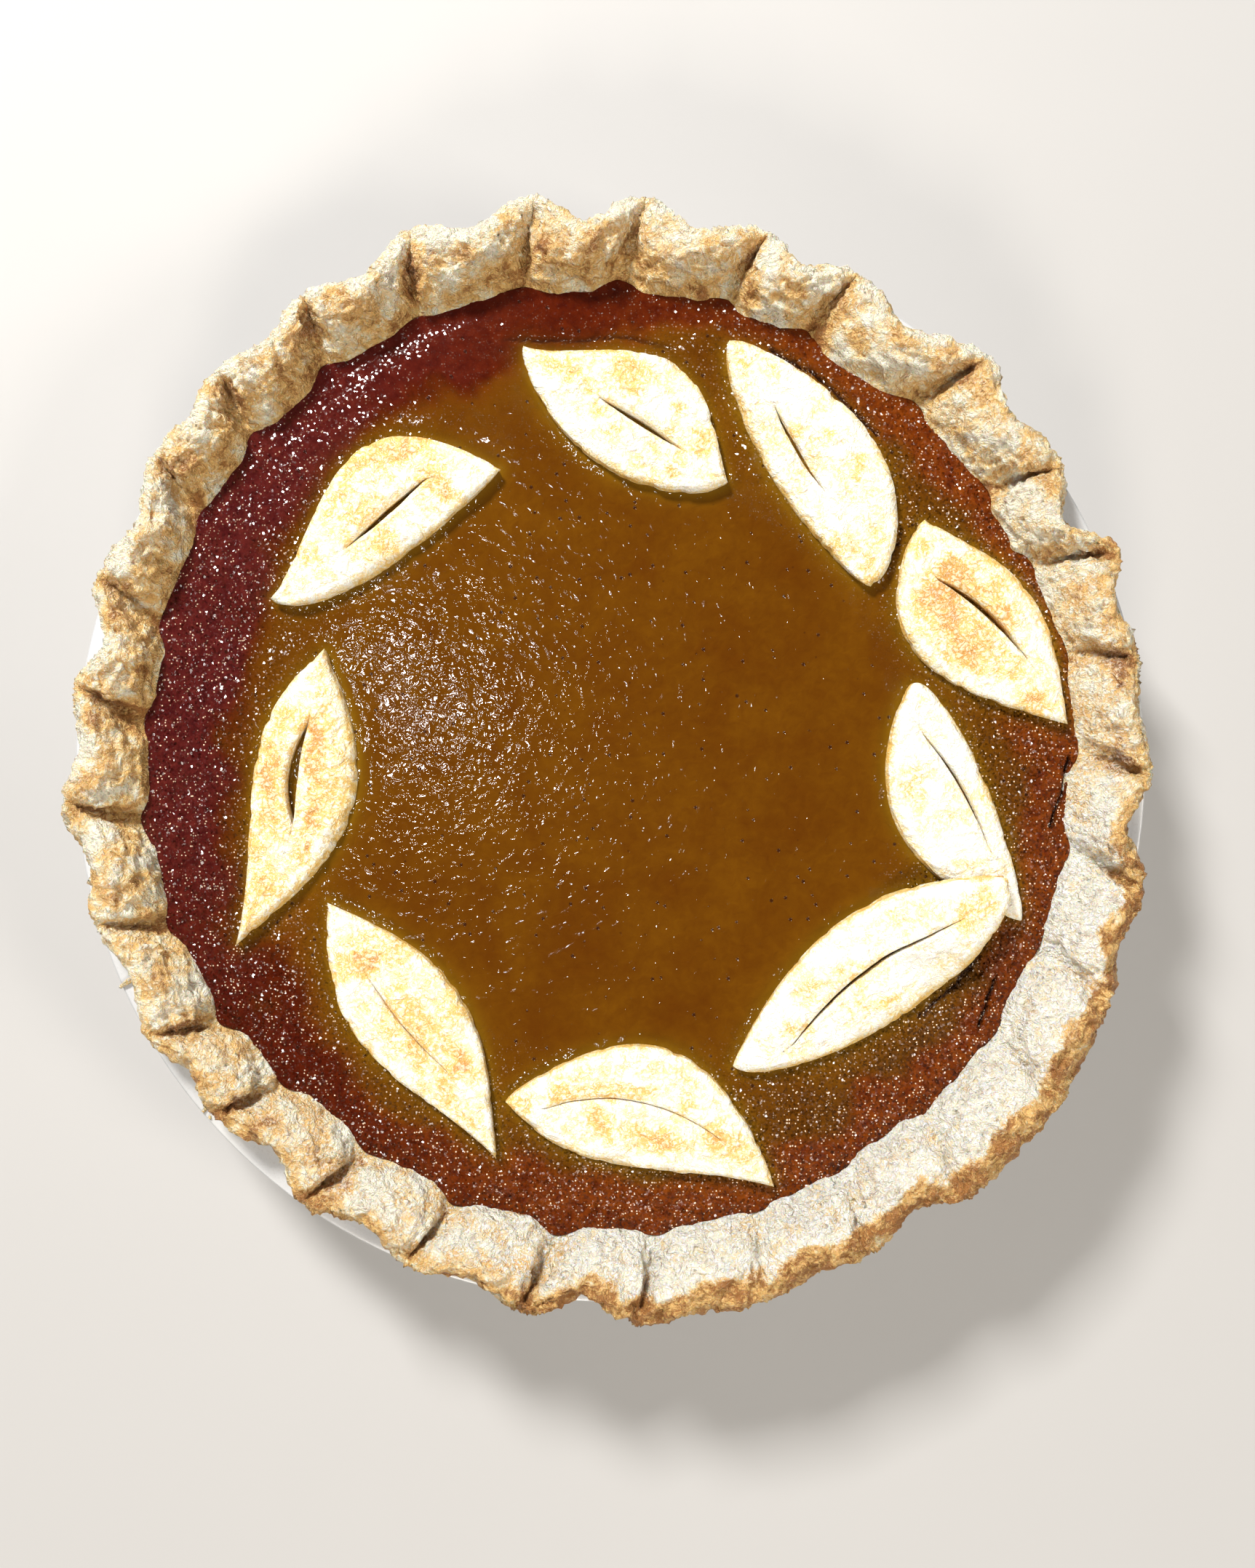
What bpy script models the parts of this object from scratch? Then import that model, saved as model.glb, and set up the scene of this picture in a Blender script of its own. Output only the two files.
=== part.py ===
"""A pumpkin pie in the pressed tin that it was baked in, with nine pastry leaves on top.

Units are metres and +Z is up. The origin is the centre of the tin's underside.
The pieces nest as in a real pie: the pastry case lines the tin and stands up over its
flange as a pinched rim, the filling fills the case, and the leaves lie on the filling.
"""

import math

import bmesh
import bpy
from mathutils import Vector

MM = 0.001
GAP = 0.0003                    # kept between pieces that touch

# The tin: a pressed dish with sloping sides and a flat flange.
TIN_HEIGHT = 0.036
TIN_WALL = 0.0008
TIN_BASE_RADIUS = 0.095         # outside, where the side leaves the base
TIN_MOUTH_RADIUS = 0.1165       # inside, at the flange
TIN_CORNER = 0.004              # radius of the bend round the base
FLANGE_RADIUS = 0.127
TIN_SIDES = 72
TIN_SLACK = TIN_MOUTH_RADIUS * (1.0 - math.cos(math.pi / TIN_SIDES))

# The pastry case and its rim. Heights on the rim are above the flange.
CASE_THICKNESS = 0.0035
RIM_GAP = 0.00035
RIM_UNDERCUT = 0.003            # how far the rim's foot stands in from its edge
NECK = 0.002                    # how far below the flange the coarse wall ends
MEAN_LIP = 0.1122               # about where the filling begins, all round
SLANT = 2.2                     # degrees that a crease turns on its way in to the filling
FLUTE_PHASES = (0.0, 0.08, 0.24, 0.42, 0.58, 0.76, 0.92)
COARSE_PHASES = (0, 3)          # the phases that carry on down the case

# Hand-pinched flutes, anticlockwise from +X: the angle of each pinched tip in degrees.
# Then in millimetres from the middle: how far the tip reaches, how far the dip after it
# reaches, where the filling begins in the crease behind the tip, and where it begins
# under the lobe after it.
FLUTES = (
    (12.0, 125.6, 123.2, 111.0, 110.3), (23.5, 129.2, 119.6, 110.2, 108.3),
    (34.1, 126.6, 123.6, 110.2, 110.0), (47.8, 130.4, 122.6, 112.0, 109.0),
    (63.9, 128.4, 124.2, 112.8, 111.0), (74.0, 130.0, 125.6, 113.6, 112.3),
    (87.0, 132.4, 126.0, 114.9, 112.7), (98.2, 134.0, 129.0, 115.0, 114.6),
    (111.0, 133.4, 127.0, 115.4, 114.4), (123.4, 131.0, 127.2, 116.2, 113.8),
    (135.2, 130.0, 126.6, 115.5, 113.3), (145.9, 129.0, 122.4, 113.8, 111.8),
    (160.1, 127.3, 120.5, 111.4, 108.4), (172.0, 125.6, 123.8, 110.2, 109.2),
    (184.3, 127.8, 123.0, 111.2, 109.2), (197.7, 124.8, 121.3, 110.9, 108.5),
    (210.9, 124.5, 119.4, 110.1, 106.4), (221.8, 122.2, 118.2, 107.6, 104.8),
    (235.4, 124.0, 120.6, 107.4, 106.1), (248.1, 125.0, 124.0, 109.6, 108.0),
    (261.2, 129.1, 122.4, 111.2, 109.0), (273.4, 130.4, 128.0, 110.9, 109.6),
    (286.4, 129.8, 127.2, 110.4, 109.4), (298.0, 128.6, 125.2, 109.8, 108.3),
    (310.2, 130.8, 129.8, 110.3, 109.7), (323.3, 132.1, 129.8, 110.4, 108.9),
    (335.4, 128.8, 125.6, 109.6, 108.8), (347.4, 127.5, 120.3, 110.0, 107.7),
    (359.6, 126.2, 123.6, 110.2, 110.4),
)
LIP_FAN = 0.30                  # half width of a crease at the filling, in flutes

# The rim from its edge in to the filling. Each row gives for a crease and then for a lobe
# the share of the way out from the filling and the height over the flange in millimetres.
# Last comes the half width of the crease there, in flutes.
RIM_ROWS = (
    ((1.000, 4.4), (1.000, 4.4), 0.30),
    ((0.945, 9.1), (0.905, 10.2), 0.22),
    ((0.860, 9.9), (0.740, 12.5), 0.12),
    ((0.660, 6.3), (0.500, 11.5), 0.09),
    ((0.400, 4.0), (0.260, 8.2), 0.14),
    ((0.120, 2.1), (0.080, 4.4), 0.24),
)

# The filling.
FILLING_LEVEL = TIN_HEIGHT + 0.001
FILLING_GAP = 1.5 * GAP         # from the case, whose facets stand in a little
FILLING_SINK = 0.0012           # how far the middle has sunk
FILLING_PUFF = 0.0030           # how far it has risen towards the crust
FILLING_RINGS = (0.94, 0.80, 0.62, 0.40, 0.20)

# The leaves.
LEAF_THICKNESS = 0.0032
LEAF_SEAT = 0.0004              # clear of the filling's flat facets
LEAF_ROUNDING = 0.0009
EDGE_HEIGHT = 0.45              # shares of the thickness: where the edge stands out most,
SHOULDER = 0.86                 # where the top begins beside an edge or a slit,
SCORE = 0.55                    # and the bottom of a scored line
LEAF_SAMPLES = 12               # along each side

# Each leaf in millimetres: its two ends, then for its left and its right side as one
# looks from the first end to the second the greatest width, where along the leaf that
# falls (1 is half way, less is nearer the first end) and how pointed the ends are.
# Then come the ends and middle of the slit, its width, and how it is cut.
LEAVES = (
    ((-19.7, 98.2), (27.5, 67.0), (16.2, 1.20, 1.10), (12.8, 1.05, 0.60),
     (-2.2, 86.3), (7.2, 80.8), (16.3, 74.7), 1.2, "through"),
    ((28.3, 99.6), (61.0, 43.0), (17.6, 1.30, 0.55), (7.2, 0.85, 0.65),
     (38.6, 84.2), (44.0, 74.2), (50.2, 64.8), 1.0, "through"),
    ((73.4, 57.6), (107.0, 10.4), (11.2, 1.00, 0.95), (19.0, 0.75, 0.95),
     (75.7, 44.0), (86.5, 37.6), (97.7, 24.9), 1.2, "through"),
    ((71.0, 19.5), (96.0, -35.6), (6.4, 0.75, 0.60), (16.9, 0.95, 0.80),
     (72.6, 8.3), (81.8, -3.8), (88.6, -19.0), 0.9, "through"),
    ((29.1, -70.3), (91.5, -26.0), (12.9, 1.10, 0.80), (13.7, 1.15, 0.45),
     (42.3, -66.2), (59.0, -48.9), (80.9, -35.6), 1.1, "through"),
    ((-24.8, -78.5), (38.2, -97.8), (22.6, 1.00, 0.85), (7.4, 0.65, 1.55),
     (-16.0, -80.4), (5.0, -78.3), (25.3, -86.8), 1.2, "scored"),
    ((-66.2, -32.4), (-26.7, -91.5), (13.7, 0.95, 1.05), (12.2, 0.75, 1.35),
     (-56.4, -50.1), (-47.2, -62.4), (-36.2, -72.9), 1.0, "scored"),
    ((-67.1, 27.4), (-87.0, -41.0), (16.4, 0.95, 1.00), (8.9, 0.65, 1.55),
     (-70.3, 11.2), (-74.6, -2.0), (-73.5, -15.4), 2.5, "through"),
    ((-26.2, 70.2), (-79.0, 40.0), (7.3, 1.70, 0.45), (20.1, 0.75, 1.25),
     (-43.2, 67.6), (-52.4, 59.8), (-61.3, 51.6), 1.4, "through"),
)
LEAF_OVER = 4                   # the fifth leaf's far end lies over the fourth leaf
LEAF_LIFT = 0.0037
LIFT_START = 0.62               # where along the leaf it starts to rise
LIFT_END = 0.86                 # and where it has risen

COLOURS = {                     # base colour, roughness, metallic
    "tin": ((0.62, 0.60, 0.56), 0.38, 1.0),
    "crust": ((0.68, 0.44, 0.20), 0.62, 0.0),
    "filling": ((0.30, 0.11, 0.025), 0.35, 0.0),
    "leaf": ((0.80, 0.62, 0.38), 0.62, 0.0),
}


def clear_scene():
    for obj in list(bpy.data.objects):
        bpy.data.objects.remove(obj, do_unlink=True)


def material(name):
    """One finish, made the first time that a piece asks for it."""
    if name in bpy.data.materials:
        return bpy.data.materials[name]
    colour, roughness, metallic = COLOURS[name]
    mat = bpy.data.materials.new(name)
    mat.use_nodes = True
    shader = mat.node_tree.nodes["Principled BSDF"]
    shader.inputs["Base Color"].default_value = (*colour, 1.0)
    shader.inputs["Roughness"].default_value = roughness
    shader.inputs["Metallic"].default_value = metallic
    return mat


def finish(name, bm, finish_name):
    """Turn the faces outwards and put the mesh in the scene under its own name."""
    bmesh.ops.recalc_face_normals(bm, faces=bm.faces)
    mesh = bpy.data.meshes.new(name)
    bm.to_mesh(mesh)
    bm.free()
    mesh.shade_smooth()
    mesh.set_sharp_from_angle(angle=math.radians(40.0))
    mesh.materials.append(material(finish_name))
    obj = bpy.data.objects.new(name, mesh)
    bpy.context.collection.objects.link(obj)
    return obj


def mix(a, b, t):
    return a + (b - a) * t


def smooth(t):
    t = min(max(t, 0.0), 1.0)
    return t * t * (3.0 - 2.0 * t)


def bump(angle, centre, half_width):
    """1 at the centre and 0 beyond the half width, all in degrees, round the circle."""
    away = abs((angle - centre + 180.0) % 360.0 - 180.0)
    return smooth(1.0 - away / half_width)


def polar(radius, degrees, height):
    angle = math.radians(degrees)
    return Vector((radius * math.cos(angle), radius * math.sin(angle), height))


def ring(bm, points):
    return [bm.verts.new(p) for p in points]


def join(bm, first, second):
    """A band of faces between two rings of as many points."""
    count = len(first)
    for i in range(count):
        j = (i + 1) % count
        bm.faces.new((first[i], first[j], second[j], second[i]))


def join_coarse(bm, fine, coarse, anchors):
    """A band from a fine ring to a coarse one, whose points stand at the anchors."""
    total = len(fine)
    for k, start in enumerate(anchors):
        end = anchors[(k + 1) % len(anchors)]
        steps = (end - start) % total
        middle = steps // 2
        here = coarse[k]
        after = coarse[(k + 1) % len(coarse)]
        for i in range(steps):
            corner = here if i < middle else after
            bm.faces.new((fine[(start + i) % total], fine[(start + i + 1) % total], corner))
        bm.faces.new((here, fine[(start + middle) % total], after))


def cap(bm, edge_ring, centre):
    """A fan that closes a ring on one point."""
    middle = bm.verts.new(centre)
    for i, vert in enumerate(edge_ring):
        bm.faces.new((vert, edge_ring[(i + 1) % len(edge_ring)], middle))


# --- the tin -----------------------------------------------------------------

def case_slope():
    """How much the side leans out for each metre of height."""
    return (TIN_MOUTH_RADIUS + TIN_WALL - TIN_BASE_RADIUS) / TIN_HEIGHT


def bend(radius, height, corner, steps):
    """Points round the bend from the base to the side, from the base outwards."""
    lean = math.atan2(1.0, case_slope())
    centre_r = radius - corner * math.tan(lean / 2.0)
    points = []
    for i in range(steps + 1):
        turn = lean * i / steps
        points.append((centre_r + corner * math.sin(turn), height + corner * (1.0 - math.cos(turn))))
    return points


def build_tin():
    """A turned profile: up the outside, round the flange, and down the inside."""
    top = TIN_HEIGHT
    outside = bend(TIN_BASE_RADIUS, 0.0, TIN_CORNER + TIN_WALL, 2)
    inner_base = TIN_BASE_RADIUS - TIN_WALL + TIN_WALL * case_slope()
    inside = bend(inner_base, TIN_WALL, TIN_CORNER, 2)
    profile = outside + [
        (TIN_MOUTH_RADIUS + TIN_WALL, top - TIN_WALL),
        (FLANGE_RADIUS - 0.4 * MM, top - TIN_WALL),
        (FLANGE_RADIUS, top - TIN_WALL / 2.0),
        (FLANGE_RADIUS - 0.4 * MM, top),
        (TIN_MOUTH_RADIUS, top),
    ] + inside[::-1]
    bm = bmesh.new()
    rings = []
    for radius, height in profile:
        turns = [360.0 * i / TIN_SIDES for i in range(TIN_SIDES)]
        rings.append(ring(bm, [polar(radius, a, height) for a in turns]))
    for first, second in zip(rings, rings[1:]):
        join(bm, first, second)
    cap(bm, rings[0], (0.0, 0.0, 0.0))
    cap(bm, rings[-1], (0.0, 0.0, TIN_WALL))
    return finish("tin", bm, "tin")


# --- the pinched rim ---------------------------------------------------------

def slump(angle):
    """1 where the flutes have slumped in the oven, at the front right, and 0 elsewhere."""
    return bump(angle, 306.0, 50.0)


def lobe_weight(phase, half_width, sharpness):
    """0 in the middle of a crease and 1 on a lobe: a smooth fan or a sharp fold."""
    t = min(min(phase, 1.0 - phase) / half_width, 1.0)
    return mix(smooth(t), t ** 0.8, sharpness)


def rim_samples():
    """Flute, phase, angle and reach all round the rim, a few for each flute."""
    samples = []
    for flute, (tip_angle, tip, dip, _, _) in enumerate(FLUTES):
        next_angle, next_tip = FLUTES[(flute + 1) % len(FLUTES)][:2]
        width = (next_angle - tip_angle) % 360.0
        for phase in FLUTE_PHASES:
            pinch = abs(math.cos(math.pi * phase)) ** 1.6
            reach = mix(dip, mix(tip, next_tip, phase), pinch) * MM
            samples.append((flute, phase, (tip_angle + phase * width) % 360.0, reach))
    return samples


def lip_radius(flute, phase):
    """Where the filling meets the rim: bays in the creases, bulges under the lobes."""
    nearest = flute if phase < 0.5 else (flute + 1) % len(FLUTES)
    return mix(FLUTES[nearest][3], FLUTES[flute][4], lobe_weight(phase, LIP_FAN, 0.0)) * MM


def rim_section(flute, phase, angle, reach):
    """The rim's outline on one radius, from its foot on the flange to the filling.

    A lobe stands up, rounds over its crest and falls to the filling. A crease has a low
    wall at its tip and then a gentle trough. Each point is a mix of the two, turned a
    little the further in it lies. Where the rim has slumped, the crest lies further in.
    """
    lip = lip_radius(flute, phase)
    points = [polar(reach - RIM_UNDERCUT, angle, TIN_HEIGHT + RIM_GAP)]
    for (crease_share, crease_height), (lobe_share, lobe_height), half_width in RIM_ROWS:
        weight = lobe_weight(phase, half_width, crease_share)
        share = mix(crease_share, lobe_share, weight)
        share -= 0.14 * slump(angle) * 4.0 * share * (1.0 - share)
        shallow = mix(crease_height, 0.85 * lobe_height, 0.45 * slump(angle))
        height = mix(max(shallow, crease_height), lobe_height, weight) * MM
        points.append(polar(mix(lip, reach, share), angle + SLANT * (1.0 - share), TIN_HEIGHT + height))
    points.append(polar(lip, angle + SLANT, FILLING_LEVEL))
    return points


def case_ring(samples, radius, height, turn):
    """A coarse ring of the case, at the angles that the rim's anchors have, turned."""
    return [polar(radius, angle + turn, height) for _, _, angle, _ in samples]


def coarse_anchors():
    per_flute = len(FLUTE_PHASES)
    return [i * per_flute + k for i in range(len(FLUTES)) for k in COARSE_PHASES]


def case_floor(side):
    """Radius and height of the case's corner, outside (0) or inside (1)."""
    height = TIN_WALL + GAP + side * CASE_THICKNESS
    thickness = TIN_WALL + GAP + TIN_SLACK + side * CASE_THICKNESS
    return TIN_BASE_RADIUS - TIN_CORNER + height * case_slope() - thickness, height


def build_crust():
    """The pastry case with its rim: one closed skin from its underside to its floor."""
    samples = rim_samples()
    anchors = coarse_anchors()
    corners = [samples[i] for i in anchors]
    mouth = TIN_MOUTH_RADIUS - GAP - TIN_SLACK
    bm = bmesh.new()
    base_radius, base_height = case_floor(0)
    base = ring(bm, case_ring(corners, base_radius, base_height, 0.0))
    wall = ring(bm, case_ring(corners, mouth - NECK * case_slope(), TIN_HEIGHT - NECK, 0.0))
    neck = ring(bm, case_ring(samples, mouth, TIN_HEIGHT + RIM_GAP, 0.0))
    cap(bm, base, (0.0, 0.0, base_height))
    join(bm, base, wall)
    join_coarse(bm, neck, wall, anchors)
    sections = [rim_section(*sample) for sample in samples]
    last = neck
    for row in zip(*sections):
        current = ring(bm, row)
        join(bm, last, current)
        last = current
    floor_radius, floor_height = case_floor(1)
    floor = ring(bm, case_ring(corners, floor_radius, floor_height, SLANT))
    join_coarse(bm, last, floor, anchors)
    cap(bm, floor, (0.0, 0.0, floor_height))
    return finish("crust", bm, "crust")


# --- the filling -------------------------------------------------------------

def filling_height(x, y):
    """The top of the filling: sunk in the middle, risen in a soft ring near the crust."""
    u = min(math.hypot(x, y) / MEAN_LIP, 1.0)
    return FILLING_LEVEL - FILLING_SINK * (1.0 - u * u) + FILLING_PUFF * (u ** 4 - u ** 10)


def on_filling(x, y, above=0.0):
    return Vector((x, y, filling_height(x, y) + above))


def build_filling():
    """A solid that fills the case, its edge following the lobes and creases."""
    samples = rim_samples()
    anchors = coarse_anchors()
    corners = [samples[i] for i in anchors]
    bm = bmesh.new()
    edge = []
    for flute, phase, angle, _ in samples:
        edge.append(polar(lip_radius(flute, phase) - FILLING_GAP, angle + SLANT, FILLING_LEVEL))
    last = ring(bm, edge)
    floor_radius, floor_height = case_floor(1)
    bottom_height = floor_height + FILLING_GAP
    bottom = ring(bm, case_ring(corners, floor_radius - FILLING_GAP, bottom_height, SLANT))
    join_coarse(bm, last, bottom, anchors)
    cap(bm, bottom, (0.0, 0.0, bottom_height))
    for step, share in enumerate(FILLING_RINGS):
        points = []
        for flute, phase, angle, _ in corners:
            flat = polar(lip_radius(flute, phase) * share, angle + SLANT, 0.0)
            points.append(on_filling(flat.x, flat.y))
        current = ring(bm, points)
        if step == 0:
            join_coarse(bm, last, current, anchors)
        else:
            join(bm, last, current)
        last = current
    cap(bm, last, on_filling(0.0, 0.0))
    return finish("filling", bm, "filling")


# --- the leaves --------------------------------------------------------------

def leaf_edge(first, second, side, left, share, inset):
    """A point on a leaf's edge, at a share of its length, inset from the outline.

    The edge stands off the line between the two ends by width x sin(pi x share^place)
    raised to the pointedness. The inset draws the leaf in along and across that line.
    """
    width, place, pointed = side
    along = second - first
    across = Vector((-along.y, along.x)).normalized() * (1.0 if left else -1.0)
    off = (width * MM - inset) * math.sin(math.pi * share ** place) ** pointed
    shrink = 1.0 - 2.0 * inset / along.length
    return first + along * (0.5 + (share - 0.5) * shrink) + across * off


def slit_point(ends, width, share, left):
    """A point on the slit's edge: a curve through three points, open in the middle."""
    start, middle, end = ends
    bow = middle - (start + end) / 2.0
    line = start + (end - start) * share + bow * (4.0 * share * (1.0 - share))
    along = (end - start).normalized()
    across = Vector((-along.y, along.x)) * (1.0 if left else -1.0)
    return line + across * (width / 2.0 * math.sin(math.pi * mix(0.12, 0.88, share)))


def leaf_shares():
    """Shares of the length round the leaf: out along its left side, back on its right."""
    steps = [0.5 - 0.5 * math.cos(math.pi * i / LEAF_SAMPLES) for i in range(LEAF_SAMPLES + 1)]
    there = [(s, True) for s in steps]
    back = [(s, False) for s in steps[-2:0:-1]]
    return there + back


def close_across(bm, loop):
    """Faces straight across a ring from its left side to its right."""
    count = len(loop)
    for i in range(count // 2):
        corners = [loop[i], loop[i + 1], loop[count - 1 - i], loop[(count - i) % count]]
        bm.faces.new(list(dict.fromkeys(corners)))


def leaf_lift(index, share):
    if index != LEAF_OVER:
        return 0.0
    return LEAF_LIFT * smooth((share - LIFT_START) / (LIFT_END - LIFT_START))


def build_leaf(index, spec):
    """A leaf cut from rolled pastry, crowned between its edge and the slit along it."""
    first, second, left_side, right_side, slit_start, slit_middle, slit_end, width, cut = spec
    first = Vector(first) * MM
    second = Vector(second) * MM
    slit = [Vector(p) * MM for p in (slit_start, slit_middle, slit_end)]
    around = leaf_shares()
    under_edge = []
    side_edge = []
    shoulder = []
    crown = []
    slit_top = []
    slit_under = []
    for share, left in around:
        side = left_side if left else right_side
        seat = LEAF_SEAT + leaf_lift(index, share)
        outer = leaf_edge(first, second, side, left, share, 0.0)
        inner = leaf_edge(first, second, side, left, share, LEAF_ROUNDING)
        cut_edge = slit_point(slit, width * MM, share, left)
        half = (inner + cut_edge) / 2.0
        groove = SHOULDER if cut == "through" else SCORE
        under_edge.append(on_filling(*inner, seat))
        side_edge.append(on_filling(*outer, seat + EDGE_HEIGHT * LEAF_THICKNESS))
        shoulder.append(on_filling(*inner, seat + SHOULDER * LEAF_THICKNESS))
        crown.append(on_filling(*half, seat + LEAF_THICKNESS))
        slit_top.append(on_filling(*cut_edge, seat + groove * LEAF_THICKNESS))
        slit_under.append(on_filling(*cut_edge, seat))
    bm = bmesh.new()
    rows = [ring(bm, row) for row in (under_edge, side_edge, shoulder, crown, slit_top)]
    for above, below in zip(rows, rows[1:]):
        join(bm, above, below)
    if cut == "through":
        under_slit = ring(bm, slit_under)
        join(bm, rows[-1], under_slit)
        join(bm, under_slit, rows[0])
    else:
        close_across(bm, rows[-1])
        close_across(bm, rows[0])
    return finish("leaf_%d" % (index + 1), bm, "leaf")


def main():
    clear_scene()
    build_tin()
    build_crust()
    build_filling()
    for index, spec in enumerate(LEAVES):
        build_leaf(index, spec)


main()
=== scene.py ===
# %% [markdown]
# # A pumpkin pie in its tin
# This notebook dresses a plain solid model of a whole pumpkin pie: a pressed tin, a
# pastry case with a hand-pinched rim, the baked filling, and nine pastry leaves.
# The solids come first, as a fixed frame in metres with +Z up and the origin under the
# middle of the tin. Every piece made here takes its place from that frame.

# %% Load the frame
import itertools
import math

import bmesh
import bpy
import numpy as np
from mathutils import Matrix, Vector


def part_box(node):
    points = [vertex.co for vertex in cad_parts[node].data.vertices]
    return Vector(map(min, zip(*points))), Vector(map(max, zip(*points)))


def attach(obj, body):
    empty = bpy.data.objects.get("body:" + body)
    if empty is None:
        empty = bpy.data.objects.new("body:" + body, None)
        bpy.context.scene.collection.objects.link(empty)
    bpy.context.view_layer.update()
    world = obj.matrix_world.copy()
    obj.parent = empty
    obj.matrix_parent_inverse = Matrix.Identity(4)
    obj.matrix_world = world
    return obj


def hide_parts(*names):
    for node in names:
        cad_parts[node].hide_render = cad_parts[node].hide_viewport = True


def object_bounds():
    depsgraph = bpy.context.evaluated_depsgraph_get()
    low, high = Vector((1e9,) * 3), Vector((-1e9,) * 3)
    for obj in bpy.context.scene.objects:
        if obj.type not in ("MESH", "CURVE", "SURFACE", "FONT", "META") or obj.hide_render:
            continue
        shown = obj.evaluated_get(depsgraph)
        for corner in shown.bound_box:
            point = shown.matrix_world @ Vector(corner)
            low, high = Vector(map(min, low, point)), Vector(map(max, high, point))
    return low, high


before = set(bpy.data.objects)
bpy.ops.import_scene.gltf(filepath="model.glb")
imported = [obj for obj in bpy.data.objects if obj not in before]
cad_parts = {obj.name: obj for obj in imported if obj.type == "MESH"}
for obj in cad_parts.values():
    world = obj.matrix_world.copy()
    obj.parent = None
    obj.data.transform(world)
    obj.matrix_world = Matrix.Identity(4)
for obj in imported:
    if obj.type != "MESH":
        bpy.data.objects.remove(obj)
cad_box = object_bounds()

MM = 0.001
TIN_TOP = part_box("tin")[1][2]
FLANGE_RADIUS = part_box("tin")[1][0]
print("nodes:", sorted(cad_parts), "tin top", round(TIN_TOP, 4), "flange", round(FLANGE_RADIUS, 4))

# %% [markdown]
# ## Small tools for shapes
# A shape here is a function of two parameters, worked out for a whole grid at once with
# numpy. These helpers blend between values, and turn a grid of points into a mesh. Each
# row of the grid is a closed ring, so its last column joins its first. The first and last
# rows close on a point, join each other, or fold flat on a line.


# %% Blending and placing
def mix(a, b, t):
    """a where t is 0, b where t is 1, and straight between."""
    return a + (b - a) * t


def ramp(t, low, high):
    """0 below low and 1 above high, with a smooth step 3t^2 - 2t^3 between."""
    t = np.clip((t - low) / (high - low), 0.0, 1.0)
    return t * t * (3.0 - 2.0 * t)


def hump(t, centre, width):
    """A bell of height 1: e to the minus square of the distance over the width."""
    return np.exp(-((t - centre) / width) ** 2)


def arc_hump(angle, centre, half_width):
    """1 at the centre angle and 0 beyond the half width, in degrees round the circle."""
    away = np.abs((angle - centre + 180.0) % 360.0 - 180.0)
    return ramp(1.0 - away / half_width, 0.0, 1.0)


def polar(radius, degrees, height):
    """Points at a radius and an angle from the middle of the pie, at a height."""
    angle = np.radians(degrees)
    return np.stack(np.broadcast_arrays(radius * np.cos(angle), radius * np.sin(angle), height), -1)


def along(rows, steps):
    """A smooth curve through each column of points, as many steps as given per stretch.

    It is a Catmull-Rom curve: between two points it leaves and arrives in the direction
    from the point before to the point after.
    """
    rows = np.asarray(rows)
    padded = np.concatenate([2 * rows[:1] - rows[1:2], rows, 2 * rows[-1:] - rows[-2:-1]])
    made = []
    for i, count in enumerate(steps):
        before, start, end, after = padded[i:i + 4]
        t = (np.arange(count) / count).reshape((-1,) + (1,) * (rows.ndim - 1))
        curve = (2 * start + (end - before) * t + (2 * before - 5 * start + 4 * end - after) * t ** 2
                 + (3 * start - before - 3 * end + after) * t ** 3) / 2
        made.append(curve)
    return np.concatenate(made + [rows[-1:]])


# %% A grid of points becomes a mesh
def normals(grid, ring_rows=False):
    """The direction square to the surface: along the columns crossed with along the rows."""
    across = np.roll(grid, -1, axis=1) - np.roll(grid, 1, axis=1)
    if ring_rows:
        down = np.roll(grid, -1, axis=0) - np.roll(grid, 1, axis=0)
    else:
        down = np.gradient(grid, axis=0)
    square = np.cross(across, down)
    return square / np.maximum(np.linalg.norm(square, axis=-1, keepdims=True), 1e-12)


def outward(grid, ring_rows=False):
    """Normals turned so that they point out of the closed shape."""
    square = normals(grid, ring_rows)
    return square if volume_sign(grid, ring_rows) > 0 else -square


def volume_sign(grid, ring_rows=False):
    """Positive where the grid's normals point outwards: the sum of place times normal."""
    square = np.cross(np.roll(grid, -1, axis=1) - grid,
                      (np.roll(grid, -1, axis=0) if ring_rows else
                       np.concatenate([grid[1:], grid[-1:]])) - grid)
    return np.sign(np.sum(square * (grid - grid.mean(axis=(0, 1)))))


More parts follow.
